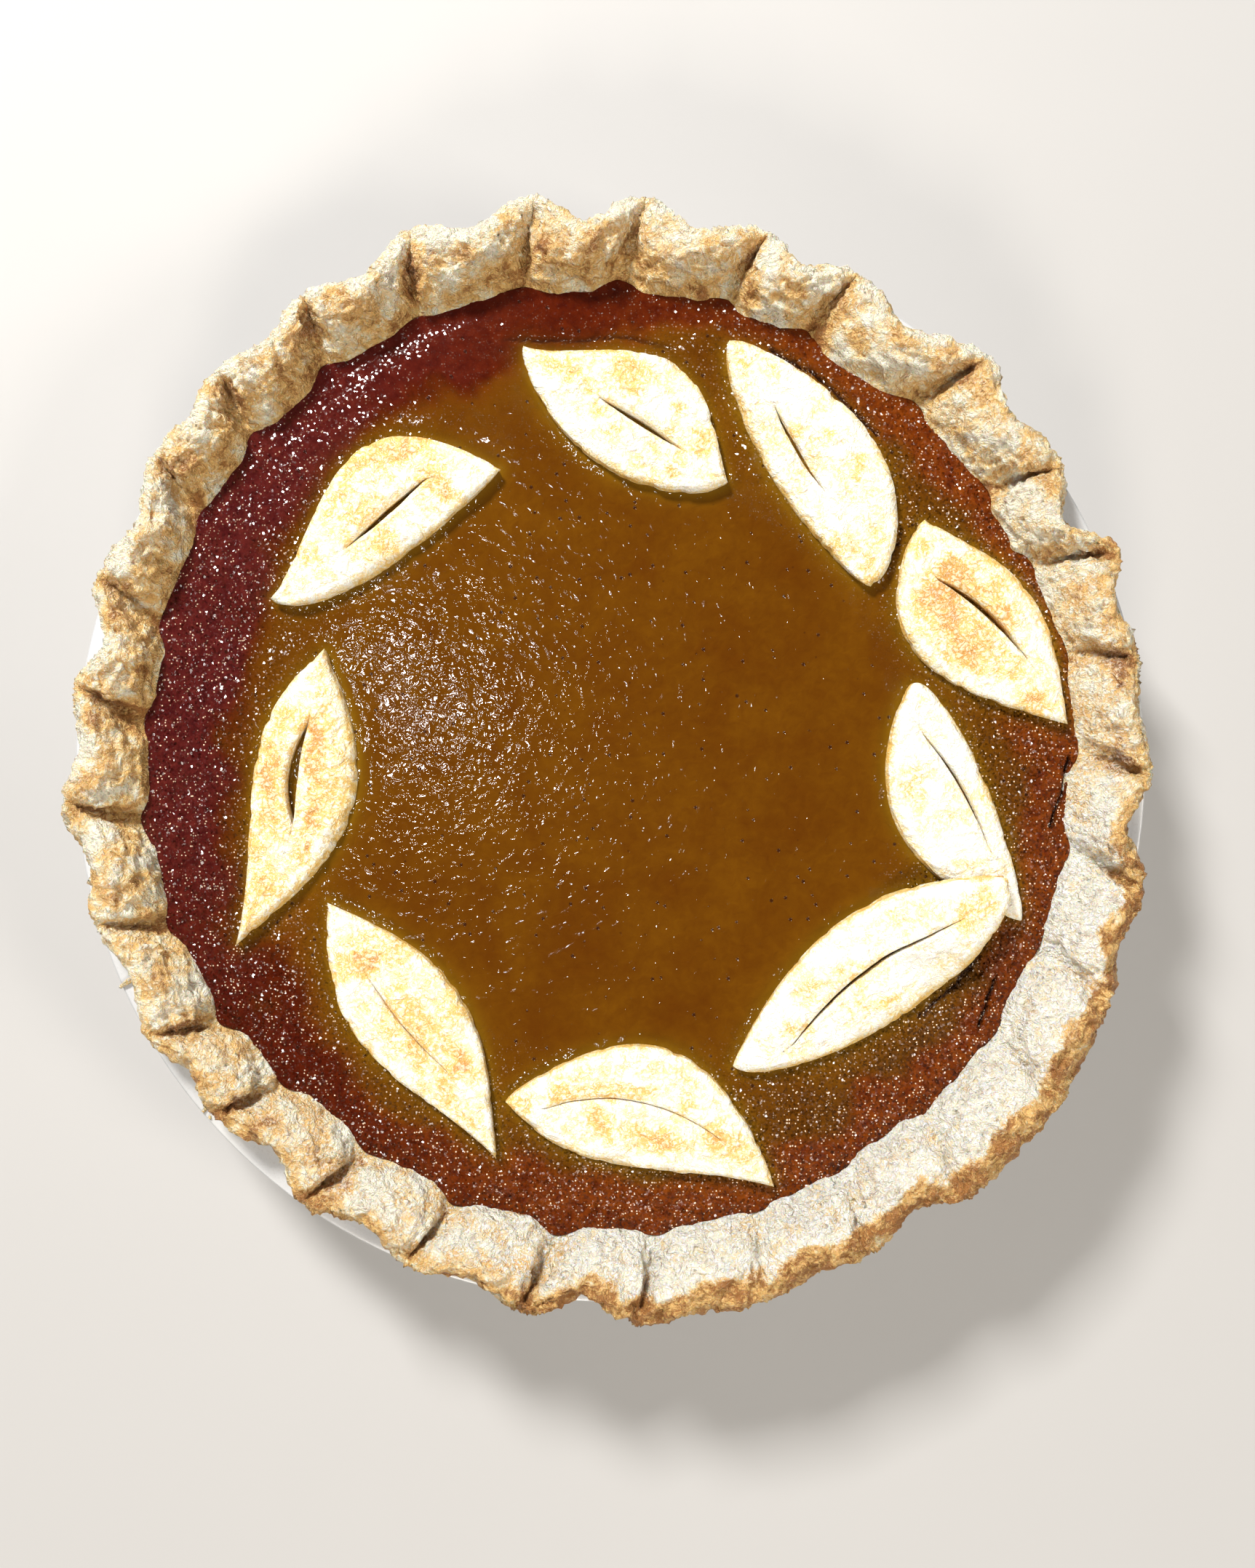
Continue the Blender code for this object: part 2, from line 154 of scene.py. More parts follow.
def skin(name, grid, ends="points", paint=None):
    """A mesh with one four-sided face between each two rows and two columns of the grid.

    ends is "points" to close the first and last rows on a point each, "ring" to join the
    last row to the first, or "lines" where those rows fold flat and their points merge.
    paint holds named values, one for each point, which a material reads as attributes.
    """
    rows, columns = grid.shape[:2]
    number = np.arange(rows * columns).reshape(rows, columns)
    nearer = number if ends == "ring" else number[:-1]
    further = np.roll(number, -1, axis=0) if ends == "ring" else number[1:]
    quads = np.stack([nearer, np.roll(nearer, -1, axis=1), np.roll(further, -1, axis=1), further], -1)
    quads = quads.reshape(-1, 4)
    if volume_sign(grid, ends == "ring") < 0:
        quads = quads[:, ::-1]
    points = grid.reshape(-1, 3)
    faces = quads.tolist()
    values = {key: np.broadcast_to(value, (rows, columns)).reshape(-1) for key, value in (paint or {}).items()}
    if ends == "points":
        points = np.concatenate([points, grid[:1].mean(axis=1), grid[-1:].mean(axis=1)])
        values = {key: np.concatenate([v, [v[0], v[-1]]]) for key, v in values.items()}
        flip = volume_sign(grid) < 0
        for ring_of, pole, turn in ((number[0], rows * columns, flip), (number[-1], rows * columns + 1, not flip)):
            fan = np.stack([np.roll(ring_of, -1), ring_of, np.full(columns, pole)], -1)
            faces += (fan[:, ::-1] if turn else fan).tolist()
    mesh = bpy.data.meshes.new(name)
    mesh.from_pydata(points.tolist(), [], faces)
    for key, value in values.items():
        mesh.attributes.new(key, "FLOAT", "POINT").data.foreach_set("value", value.astype(np.float32))
    if ends == "lines":
        bm = bmesh.new()
        bm.from_mesh(mesh)
        bmesh.ops.remove_doubles(bm, verts=bm.verts, dist=1e-6)
        bm.to_mesh(mesh)
        bm.free()
    mesh.shade_smooth()
    piece = bpy.data.objects.new(name, mesh)
    bpy.context.collection.objects.link(piece)
    print(name, "triangles", sum(len(p.vertices) - 2 for p in mesh.polygons))
    return piece


# %% [markdown]
# ## Unevenness
# Nothing baked is smooth. Gradient noise gives soft lumps of a chosen size: space is cut
# into cubes, each corner gets a slope that looks random but is the same every time, and a
# point blends the slopes of its cube's eight corners. Sums of it at ever smaller sizes
# look like dough. Scattered pits use the nearest of many jittered points instead.


# %% Repeatable noise
def lattice(cell, seed):
    """A repeatable number from 0 to 1 for each whole-numbered cell of space."""
    n = cell[..., 0] * 73856093 ^ cell[..., 1] * 19349663 ^ cell[..., 2] * 83492791 ^ seed * 6542989
    n = (n ^ n >> 13) * 1274126177 & 0x7FFFFFFF
    n = (n ^ n >> 15) * 2246822519 & 0x7FFFFFFF
    return (n ^ n >> 14) % 65536 / 65535.0


def lumps(points, size, seed=0):
    """Soft lumps of about the given size, from -1 to 1, by the gradient method."""
    place = points / size + 100.0
    cell = np.floor(place).astype(np.int64)
    inside = place - cell
    soft = inside ** 3 * (inside * (inside * 6.0 - 15.0) + 10.0)
    total = 0.0
    for corner in itertools.product((0, 1), repeat=3):
        corner = np.array(corner)
        slope = np.stack([lattice(cell + corner, seed * 3 + k) for k in range(3)], -1) * 2.0 - 1.0
        weight = np.prod(np.where(corner == 1, soft, 1.0 - soft), axis=-1)
        total = total + weight * np.sum(slope * (inside - corner), axis=-1)
    return total * 1.5


def dough(points, size, octaves, seed=0):
    """Lumps on lumps: each layer half the size and half the height of the last."""
    return sum(lumps(points, size / 2 ** k, seed + 7 * k) / 2 ** k for k in range(octaves))


def pits(points, spacing, seed, smallest, largest):
    """Round pits: 1 at the middle of each and 0 outside, of sizes between two radii.

    Each square of the given spacing has one pit somewhere in it, seen from above.
    """
    flat = points.copy()
    flat[..., 2] = 0.0
    cell = np.floor(flat / spacing).astype(np.int64)
    deepest = np.zeros(points.shape[:-1])
    for dx, dy in itertools.product((-1, 0, 1), repeat=2):
        near = cell + np.array([dx, dy, 0])
        middle = np.stack([near[..., k] + lattice(near, seed + k) for k in range(2)], -1) * spacing
        radius = mix(smallest, largest, lattice(near, seed + 5) ** 3)
        away = np.linalg.norm(flat[..., :2] - middle, axis=-1) / radius
        deepest = np.maximum(deepest, 1.0 - ramp(away, 0.2, 1.0))
    return deepest


# %% [markdown]
# ## Material tools
# Finishes are node trees. A small helper adds a node and sets its sockets, and two node
# groups hold what several finishes share: a blotchy mask for uneven baking, and the fine
# crumb that roughens every baked surface. Groups only put out masks and heights that vary
# over the surface. The shader itself stays in each material.


# %% Nodes and shared groups
def add(tree, kind, **sockets):
    """A node with values or links for its sockets. Underscores in a name stand for spaces."""
    made = tree.nodes.new(kind)
    for key, value in sockets.items():
        socket = made.inputs[key.replace("_", " ")]
        if isinstance(value, bpy.types.NodeSocket):
            tree.links.new(value, socket)
        else:
            socket.default_value = value
    return made


def calculate(tree, operation, first, second, clamp=False):
    """One sum on two values, such as ADD or MULTIPLY."""
    made = tree.nodes.new("ShaderNodeMath")
    made.operation = operation
    made.use_clamp = clamp
    for socket, value in zip(made.inputs, (first, second)):
        if isinstance(value, bpy.types.NodeSocket):
            tree.links.new(value, socket)
        else:
            socket.default_value = value
    return made.outputs[0]


def blend(tree, share, first, second, mode="MIX"):
    """A colour between two colours, by a share that varies over the surface."""
    made = tree.nodes.new("ShaderNodeMix")
    made.data_type = "RGBA"
    made.blend_type = mode
    for socket, value in ((made.inputs[0], share), (made.inputs[6], first), (made.inputs[7], second)):
        if isinstance(value, bpy.types.NodeSocket):
            tree.links.new(value, socket)
        elif isinstance(value, tuple):
            socket.default_value = (*value, 1.0)
        else:
            socket.default_value = value
    return made.outputs[2]


def between(tree, value, low, high):
    """0 below low and 1 above high, smoothly."""
    made = tree.nodes.new("ShaderNodeMapRange")
    made.interpolation_type = "SMOOTHSTEP"
    tree.links.new(value, made.inputs["Value"])
    made.inputs["From Min"].default_value = low
    made.inputs["From Max"].default_value = high
    return made.outputs["Result"]


def attribute(tree, name):
    made = tree.nodes.new("ShaderNodeAttribute")
    made.attribute_name = name
    return made.outputs["Fac"]


def group(name, inputs, output):
    """An empty node group with named number inputs and one number output."""
    made = bpy.data.node_groups.new(name, "ShaderNodeTree")
    for key, value in inputs.items():
        made.interface.new_socket(key, in_out="INPUT", socket_type="NodeSocketFloat").default_value = value
    made.interface.new_socket(output, in_out="OUTPUT", socket_type="NodeSocketFloat")
    return made, made.nodes.new("NodeGroupInput").outputs, made.nodes.new("NodeGroupOutput").inputs[0]


def use(tree, shared, **sockets):
    """A shared group placed in a material with its own values."""
    made = tree.nodes.new("ShaderNodeGroup")
    made.node_tree = shared
    for key, value in sockets.items():
        made.inputs[key.replace("_", " ")].default_value = value
    return made.outputs[0]


def make_blotches():
    """Uneven baking: noise on the object's own coordinates, sharpened about its middle."""
    shared, given, out = group("blotches", {"Scale": 100.0, "Softness": 0.15, "Level": 0.5}, "Mask")
    place = shared.nodes.new("ShaderNodeTexCoord").outputs["Object"]
    cloud = add(shared, "ShaderNodeTexNoise", Vector=place, Scale=given["Scale"], Detail=5.0,
                Roughness=0.6, Distortion=0.4)
    low = calculate(shared, "SUBTRACT", given["Level"], given["Softness"])
    high = calculate(shared, "ADD", given["Level"], given["Softness"])
    ranged = add(shared, "ShaderNodeMapRange", Value=cloud.outputs["Fac"], From_Min=low, From_Max=high)
    ranged.interpolation_type = "LINEAR"
    shared.links.new(ranged.outputs["Result"], out)
    return shared


def make_crumb():
    """Fine crumb: two sizes of noise and small round pores, added as one height."""
    shared, given, out = group("crumb", {"Scale": 900.0, "Pores": 0.4}, "Height")
    place = shared.nodes.new("ShaderNodeTexCoord").outputs["Object"]
    fine = add(shared, "ShaderNodeTexNoise", Vector=place, Scale=given["Scale"], Detail=4.0, Roughness=0.65)
    wide = calculate(shared, "MULTIPLY", given["Scale"], 0.22)
    broad = add(shared, "ShaderNodeTexNoise", Vector=place, Scale=wide, Detail=3.0, Roughness=0.55)
    cells = calculate(shared, "MULTIPLY", given["Scale"], 0.45)
    pore = add(shared, "ShaderNodeTexVoronoi", Vector=place, Scale=cells)
    edge = between(shared, pore.outputs["Distance"], 0.0, 0.35)
    total = calculate(shared, "ADD", fine.outputs["Fac"], calculate(shared, "MULTIPLY", broad.outputs["Fac"], 1.6))
    shared.links.new(calculate(shared, "ADD", total, calculate(shared, "MULTIPLY", edge, given["Pores"])), out)
    return shared


def make_flakes():
    """Rounded bumps with sharp, ragged gaps: how far a cloud lies from its middle value."""
    shared, given, out = group("flakes", {"Scale": 500.0}, "Height")
    place = shared.nodes.new("ShaderNodeTexCoord").outputs["Object"]
    cloud = add(shared, "ShaderNodeTexNoise", Vector=place, Scale=given["Scale"], Detail=4.0,
                Roughness=0.6, Distortion=0.4)
    from_middle = calculate(shared, "ABSOLUTE", calculate(shared, "SUBTRACT", cloud.outputs["Fac"], 0.5), 0.0)
    shared.links.new(calculate(shared, "MULTIPLY", from_middle, 5.0, clamp=True), out)
    return shared


def make_facets():
    """Small flat facets, each tilted its own way, as the tiny crystals of a dry skin are.

    Every cell of a jittered pattern has a colour, used as its slope, cubed so that few
    cells are steep. The height is that slope times the distance from the cell's middle.
    """
    shared, given, out = group("facets", {"Scale": 1000.0}, "Height")
    place = shared.nodes.new("ShaderNodeTexCoord").outputs["Object"]
    cell = add(shared, "ShaderNodeTexVoronoi", Vector=place, Scale=given["Scale"])
    from_cell = shared.nodes.new("ShaderNodeVectorMath")
    from_cell.operation = "SUBTRACT"
    shared.links.new(place, from_cell.inputs[0])
    shared.links.new(cell.outputs["Position"], from_cell.inputs[1])
    tilt = shared.nodes.new("ShaderNodeVectorMath")
    tilt.operation = "SUBTRACT"
    shared.links.new(cell.outputs["Color"], tilt.inputs[0])
    tilt.inputs[1].default_value = (0.5, 0.5, 0.5)
    size = shared.nodes.new("ShaderNodeVectorMath")
    size.operation = "LENGTH"
    shared.links.new(tilt.outputs[0], size.inputs[0])
    slope = shared.nodes.new("ShaderNodeVectorMath")
    slope.operation = "SCALE"
    shared.links.new(tilt.outputs[0], slope.inputs[0])
    shared.links.new(calculate(shared, "POWER", size.outputs["Value"], 2.0), slope.inputs["Scale"])
    height = shared.nodes.new("ShaderNodeVectorMath")
    height.operation = "DOT_PRODUCT"
    shared.links.new(from_cell.outputs[0], height.inputs[0])
    shared.links.new(slope.outputs[0], height.inputs[1])
    shared.links.new(calculate(shared, "MULTIPLY", height.outputs["Value"], given["Scale"]), out)
    return shared


BLOTCHES = make_blotches()
FLAKES = make_flakes()
FACETS = make_facets()
CRUMB = make_crumb()


def shader(name):
    """A new material: its tree and its Principled shader."""
    made = bpy.data.materials.new(name)
    made.use_nodes = True
    return made, made.node_tree, made.node_tree.nodes["Principled BSDF"]


def bump(tree, surface, height, strength, distance):
    made = add(tree, "ShaderNodeBump", Height=height, Strength=strength, Distance=distance)
    tree.links.new(made.outputs["Normal"], surface.inputs["Normal"])


# %% [markdown]
# ## The tin
# A pie tin is one disc of thin steel pressed into a dish: a flat base, a tight bend, a
# sloping side and a flat flange with a small rolled edge. It is the same all the way
# round, so it is turned: the half profile is drawn once, from the middle of the underside
# out and round the flange and back in, and carried round the axis.

# %% Press the tin
TIN_WALL = 0.8 * MM
TIN_BASE = 95.0 * MM
TIN_MOUTH = 116.5 * MM
TIN_BEND = 4.0 * MM
TIN_SLOPE = (TIN_MOUTH + TIN_WALL - TIN_BASE) / TIN_TOP
ROLL = 0.55 * MM
TIN_COLUMNS = 360


def bend(radius, height, corner, steps=7):
    """Radius and height round the bend from the base up to the side."""
    lean = math.atan2(1.0, TIN_SLOPE)
    turn = np.linspace(0.0, lean, steps)
    middle = radius - corner * math.tan(lean / 2.0)
    return np.stack([middle + corner * np.sin(turn), height + corner * (1.0 - np.cos(turn))], -1)


def tin_profile():
    """Radius and height from under the middle, up the outside, over the flange, down inside."""
    base = np.linspace([2.0 * MM, 0.0], [TIN_BASE - 8.0 * MM, 0.0], 6)
    outside = bend(TIN_BASE, 0.0, TIN_BEND + TIN_WALL)
    inside = bend(TIN_BASE - TIN_WALL + TIN_WALL * TIN_SLOPE, TIN_WALL, TIN_BEND)
    shoulder_out = np.array([[TIN_MOUTH + TIN_WALL - 1.0 * MM * TIN_SLOPE, TIN_TOP - TIN_WALL - 1.0 * MM],
                             [TIN_MOUTH + TIN_WALL + 0.3 * MM, TIN_TOP - TIN_WALL - 0.1 * MM],
                             [TIN_MOUTH + TIN_WALL + 1.2 * MM, TIN_TOP - TIN_WALL]])
    turn = np.linspace(-math.pi / 2.0, math.pi / 2.0, 9)
    middle = FLANGE_RADIUS - ROLL
    edge = np.stack([middle + ROLL * np.cos(turn), TIN_TOP - ROLL + ROLL * np.sin(turn)], -1)
    flange = np.array([[FLANGE_RADIUS - 1.6 * MM, TIN_TOP - 0.12 * MM], [TIN_MOUTH + 1.2 * MM, TIN_TOP - 0.12 * MM],
                       [TIN_MOUTH + 0.3 * MM, TIN_TOP - 0.25 * MM],
                       [TIN_MOUTH - 1.0 * MM * TIN_SLOPE, TIN_TOP - 1.2 * MM]])
    floor = np.linspace([TIN_BASE - 8.0 * MM, TIN_WALL], [2.0 * MM, TIN_WALL], 4)
    return np.concatenate([base, outside, shoulder_out, edge, flange, inside[::-1], floor])


turns = np.arange(TIN_COLUMNS) * 360.0 / TIN_COLUMNS
profile = tin_profile()
pressed_tin = skin("pressed_tin", polar(profile[:, :1], turns[None, :], profile[:, 1:]))

# %% [markdown]
# ## The tin's finish
# Plain tinned steel that has been through many ovens: a soft, pale shine with fine
# speckles, faint rings from the press, and a slightly warm bloom where it has been hot.


# %% Tinned steel
def make_tinned_steel():
    """Metal whose roughness and tint vary: rings by radius, speckles and a warm bloom."""
    finish, tree, surface = shader("tinned_steel")
    place = tree.nodes.new("ShaderNodeTexCoord").outputs["Object"]
    speckle = add(tree, "ShaderNodeTexNoise", Vector=place, Scale=1500.0, Detail=3.0, Roughness=0.7).outputs["Fac"]
    spots = between(tree, speckle, 0.52, 0.68)
    bloom = use(tree, BLOTCHES, Scale=38.0, Softness=0.2, Level=0.55)
    rings = tree.nodes.new("ShaderNodeTexWave")
    rings.wave_type = "RINGS"
    rings.rings_direction = "Z"
    tree.links.new(place, rings.inputs["Vector"])
    rings.inputs["Scale"].default_value = 260.0
    rings.inputs["Distortion"].default_value = 1.5
    metal = blend(tree, bloom, (0.72, 0.73, 0.75), (0.70, 0.70, 0.69))
    metal = blend(tree, calculate(tree, "MULTIPLY", spots, 0.45), metal, (0.60, 0.59, 0.58))
    tree.links.new(metal, surface.inputs["Base Color"])
    rough = calculate(tree, "ADD", calculate(tree, "MULTIPLY", speckle, 0.22), 0.34)
    rough = calculate(tree, "ADD", rough, calculate(tree, "MULTIPLY", rings.outputs["Fac"], 0.05))
    tree.links.new(rough, surface.inputs["Roughness"])
    surface.inputs["Metallic"].default_value = 0.45
    bump(tree, surface, calculate(tree, "ADD", speckle, calculate(tree, "MULTIPLY", rings.outputs["Fac"], 0.3)),
         0.25, 0.0001)
    return finish


pressed_tin.data.materials.append(make_tinned_steel())
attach(pressed_tin, "root")
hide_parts("tin")

# %% [markdown]
# ## The pinched rim
# The baker folds the pastry's edge over on itself and pinches it between thumb and
# fingers, all the way round. Each pinch pulls a tip outwards and presses a crease in
# behind it. The crease is narrow at the tip and opens like a fan towards the filling, and
# between two creases the dough bulges into a rounded lobe. So the rim's outline on any
# radius is a blend of two outlines, a crease's and a lobe's. The creases don't run
# straight to the middle: the thumb pushes askew, so they slant.

# %% Pinches by hand
# Anticlockwise from +X: the angle of each pinched tip in degrees. Then in millimetres from
# the middle: how far the tip reaches, how far the dip after it reaches, where the filling
# begins in the crease behind the tip, and where it begins under the lobe after it.
FLUTES = np.array((
    (12.0, 125.6, 123.2, 111.0, 110.3), (23.5, 129.2, 119.6, 110.2, 108.3),
    (34.1, 126.6, 123.6, 110.2, 110.0), (47.8, 130.4, 122.6, 112.0, 109.0),
    (63.9, 128.4, 124.2, 112.8, 111.0), (74.0, 130.0, 125.6, 113.6, 112.3),
    (87.0, 132.4, 126.0, 114.9, 112.7), (98.2, 134.0, 129.0, 115.0, 114.6),
    (111.0, 133.4, 127.0, 115.4, 114.4), (123.4, 131.0, 127.2, 116.2, 113.8),
    (135.2, 130.0, 126.6, 115.5, 113.3), (145.9, 129.0, 122.4, 113.8, 111.8),
    (160.1, 127.3, 120.5, 111.4, 108.4), (172.0, 125.6, 123.8, 110.2, 109.2),
    (184.3, 127.8, 123.0, 111.2, 109.2), (197.7, 124.8, 121.3, 110.9, 108.5),
    (210.9, 124.5, 119.4, 110.1, 106.4), (221.8, 122.2, 118.2, 107.6, 104.8),
    (235.4, 124.0, 120.6, 107.4, 106.1), (248.1, 125.0, 124.0, 109.6, 108.0),
    (261.2, 129.1, 122.4, 111.2, 109.0), (273.4, 130.4, 128.0, 110.9, 109.6),
    (286.4, 129.8, 127.2, 110.4, 109.4), (298.0, 128.6, 125.2, 109.8, 108.3),
    (310.2, 130.8, 129.8, 110.3, 109.7), (323.3, 132.1, 129.8, 110.4, 108.9),
    (335.4, 128.8, 125.6, 109.6, 108.8), (347.4, 127.5, 120.3, 110.0, 107.7),
    (359.6, 126.2, 123.6, 110.2, 110.4),
))
FLUTE_COUNT = len(FLUTES)
FILLING_LEVEL = TIN_TOP + 1.0 * MM
LIP_TUCK = 0.6 * MM             # how far the crust's inner edge dips under the filling
SLANT = 2.2                     # degrees that a crease turns between its tip and the filling
SET_BACK = 1.0                  # degrees that a crease starts short of its tip
LIP_FAN = 0.30                  # half width of a crease at the filling, as a share of a pinch


def slump(angle):
    """1 where the rim has slumped in the oven, at the front right, and 0 elsewhere."""
    return arc_hump(angle, 306.0, 50.0)


def hand(number, seed):
    """A repeatable -1 to 1 for each pinch: no two are alike."""
    cell = np.stack([number, number * 0, number * 0], -1).astype(np.int64)
    return lattice(cell, seed) * 2.0 - 1.0


def lobe_weight(phase, half_width, sharpness):
    """0 in the middle of the crease and 1 on the lobe, as a smooth fan or a sharp fold."""
    t = np.clip(np.minimum(phase, 1.0 - phase) / half_width, 0.0, 1.0)
    return mix(t * t * (3.0 - 2.0 * t), t ** 0.8, sharpness)


def pick(column, number, phase):
    """A column of the pinches' table, taken from the crease nearest to each place."""
    return FLUTES[np.where(phase < 0.5, number, (number + 1) % FLUTE_COUNT), column]


def lip_radius(number, phase):
    """Where the filling meets the crust: bays in the creases, bulges under the lobes."""
    return mix(pick(3, number, phase), FLUTES[number, 4], lobe_weight(phase, LIP_FAN, 0.0)) * MM


def around_rim(per_flute):
    """Pinch number, phase, angle and reach of each column, closer together by the creases."""
    step = np.arange(per_flute) / per_flute
    step = step - 0.07 * np.sin(2.0 * np.pi * step)
    number = np.repeat(np.arange(FLUTE_COUNT), per_flute)
    phase = np.tile(step, FLUTE_COUNT)
    after = (number + 1) % FLUTE_COUNT
    width = (FLUTES[after, 0] - FLUTES[number, 0]) % 360.0
    angle = (FLUTES[number, 0] + phase * width) % 360.0
    tip = mix(FLUTES[number, 1], FLUTES[after, 1], phase)
    pinch = np.abs(np.cos(np.pi * phase)) ** 1.6
    return number, phase, angle, mix(FLUTES[number, 2], tip, pinch) * MM


number, phase, angle, reach = around_rim(48)
print("rim columns", len(angle), "widest reach", round(float(reach.max()), 4))

# %% The rim's outline on each radius
# From outside in, each row gives for a crease and then for a lobe the share of the way out
# from the filling and the height over the flange in millimetres. Last comes the half width
# of the crease there, as a share of a pinch. A lobe stands up, rounds over its crest and
# falls to the filling. A crease has a low wall at its tip and then a gentle trough.
RIM_ROWS = (
    ((1.000, 4.4), (1.000, 4.4), 0.30), ((0.985, 6.8), (0.975, 7.2), 0.28), ((0.945, 8.9), (0.905, 9.9), 0.22),
    ((0.880, 9.7), (0.800, 11.6), 0.13), ((0.790, 8.6), (0.675, 12.1), 0.085), ((0.680, 6.3), (0.535, 11.5), 0.080),
    ((0.530, 4.6), (0.385, 9.9), 0.105), ((0.365, 3.5), (0.240, 7.6), 0.150), ((0.205, 2.5), (0.120, 5.2), 0.205),
    ((0.080, 1.6), (0.035, 2.9), 0.260),
)


def rim_curve(number, phase, angle, reach, steps):
    """Radius and height over the flange along the rim, from its foot to the filling.

    The crease is steeper on one side than on the other, by hand. Where the rim has
    slumped its crest lies further in, and its creases are shallower.
    """
    lip = lip_radius(number, phase)
    near = np.where(phase < 0.5, number, (number + 1) % FLUTE_COUNT)
    fan = 1.0 + 0.25 * hand(near, 3) + np.where(phase < 0.5, 0.30, -0.30) * (0.5 + hand(near, 7))
    lobe = np.sin(np.pi * phase)
    low = slump(angle)
    cushion = mix(0.80, 1.0, lobe ** 0.7) + (0.03 * hand(number, 4) - 0.05 * low) * lobe
    inwards = 0.04 * hand(number, 5) * lobe
    rows = [(reach - 3.0 * MM, 0.1 * MM + 0 * reach), (reach - 0.8 * MM, 1.3 * MM + 0 * reach)]
    for (crease_share, crease_height), (lobe_share, lobe_height), half_width in RIM_ROWS:
        weight = lobe_weight(phase, half_width * fan, crease_share)
        shallow = mix(crease_height, 0.85 * lobe_height, 0.45 * low)
        share = mix(crease_share, lobe_share + inwards * (crease_share < 1.0), weight)
        share = share - 0.14 * low * 4.0 * share * (1.0 - share)
        height = mix(np.maximum(shallow, crease_height), lobe_height * mix(1.0, cushion, 4.0 * lobe_share * (1.0 - lobe_share)), weight)
        rows.append((lip + share * (reach - lip), height * MM))
    rows.append((lip - 0.8 * MM, FILLING_LEVEL - TIN_TOP - LIP_TUCK + 0 * lip))
    return along(np.stack([np.stack(row, -1) for row in rows]), steps)


RIM_STEPS = (2, 3, 4, 4, 5, 6, 6, 6, 7, 6, 5, 4)
curve = rim_curve(number, phase, angle, reach, RIM_STEPS)
print("rim rows", len(curve), "crest", round(float(curve[..., 1].max()), 4))

# %% [markdown]
# ## From the rim down into the tin
# Below the rim the same skin goes on: outside, the case lines the tin, and inside it holds
# the filling. Both are hidden, so a few rows are enough. The fine unevenness is added last,
# along the normals: broad lumps, a flaky skin of small bumps with sharp gaps between them,
# torn cracks, and wrinkles that run out of the creases where the dough was squeezed. It
# fades out where the rim meets the tin and the filling.

# %% Roll out the whole crust
CASE_THICKNESS = 3.5 * MM
CASE_CLEAR = 0.4 * MM


def case_rows(side):
    """Radius and height of the case's bottom corner, outside (0) or inside (1)."""
    height = TIN_WALL + CASE_CLEAR + side * CASE_THICKNESS
    return TIN_BASE - TIN_BEND + height * TIN_SLOPE - TIN_WALL - CASE_CLEAR - side * CASE_THICKNESS, height


def crust_grid():
    """Rows from the middle of the case's underside, up round the rim, and down to its floor."""
    ones = np.ones_like(angle)
    under_radius, under_height = case_rows(0)
    floor_radius, floor_height = case_rows(1)
    mouth = TIN_MOUTH - CASE_CLEAR
    before = [(0.04 * ones, under_height * ones), (under_radius * ones, under_height * ones),
              (mouth - 2.0 * MM * TIN_SLOPE * ones, (TIN_TOP - 2.0 * MM) * ones),
              (mouth * ones, (TIN_TOP + 0.1 * MM) * ones)]
    lip = lip_radius(number, phase)
    behind = [(lip - 1.2 * MM, (FILLING_LEVEL - 1.6 * MM) * ones), (floor_radius * ones, floor_height * ones),
              (0.04 * ones, floor_height * ones)]
    before = np.stack([np.stack(row, -1) for row in before])
    behind = np.stack([np.stack(row, -1) for row in behind])
    rim = curve.copy()
    rim[..., 1] += TIN_TOP
    rows = np.concatenate([before, rim, behind])
    share = np.clip((rows[..., 0] - lip) / (reach - lip), 0.0, 1.0)
    turned = angle + (SLANT + SET_BACK) * (1.0 - share) - SET_BACK * ramp(1.0 - share, 0.0, 0.15)
    return polar(rows[..., 0], turned, rows[..., 1]), share, turned, len(before), len(behind)


crust_points, share, turned, hidden_before, hidden_behind = crust_grid()
row_count = len(crust_points)
shown = np.zeros(row_count)
shown[hidden_before + 2:row_count - hidden_behind] = 1.0
from_lip = np.arange(row_count)[::-1] - hidden_behind
fade = (shown * ramp(from_lip, 0.0, 5.0))[:, None]
crease = 1.0 - lobe_weight(phase[None, :], mix(LIP_FAN, 0.09, ramp(share, 0.0, 0.7)), 0.5)
from_crease = np.minimum(phase, 1.0 - phase)[None, :] + 0 * share
nearest = np.where(phase < 0.5, number, (number + 1) % FLUTE_COUNT)
keen = 0.55 + 0.45 * hand(nearest, 9)


def flakes(points, size, octaves, seed):
    """Rounded bumps with sharp gaps between them, from 0 in the gaps to about 1."""
    return sum(np.abs(lumps(points, size / 2 ** k, seed + 5 * k)) * 1.5 / 1.5 ** k for k in range(octaves))


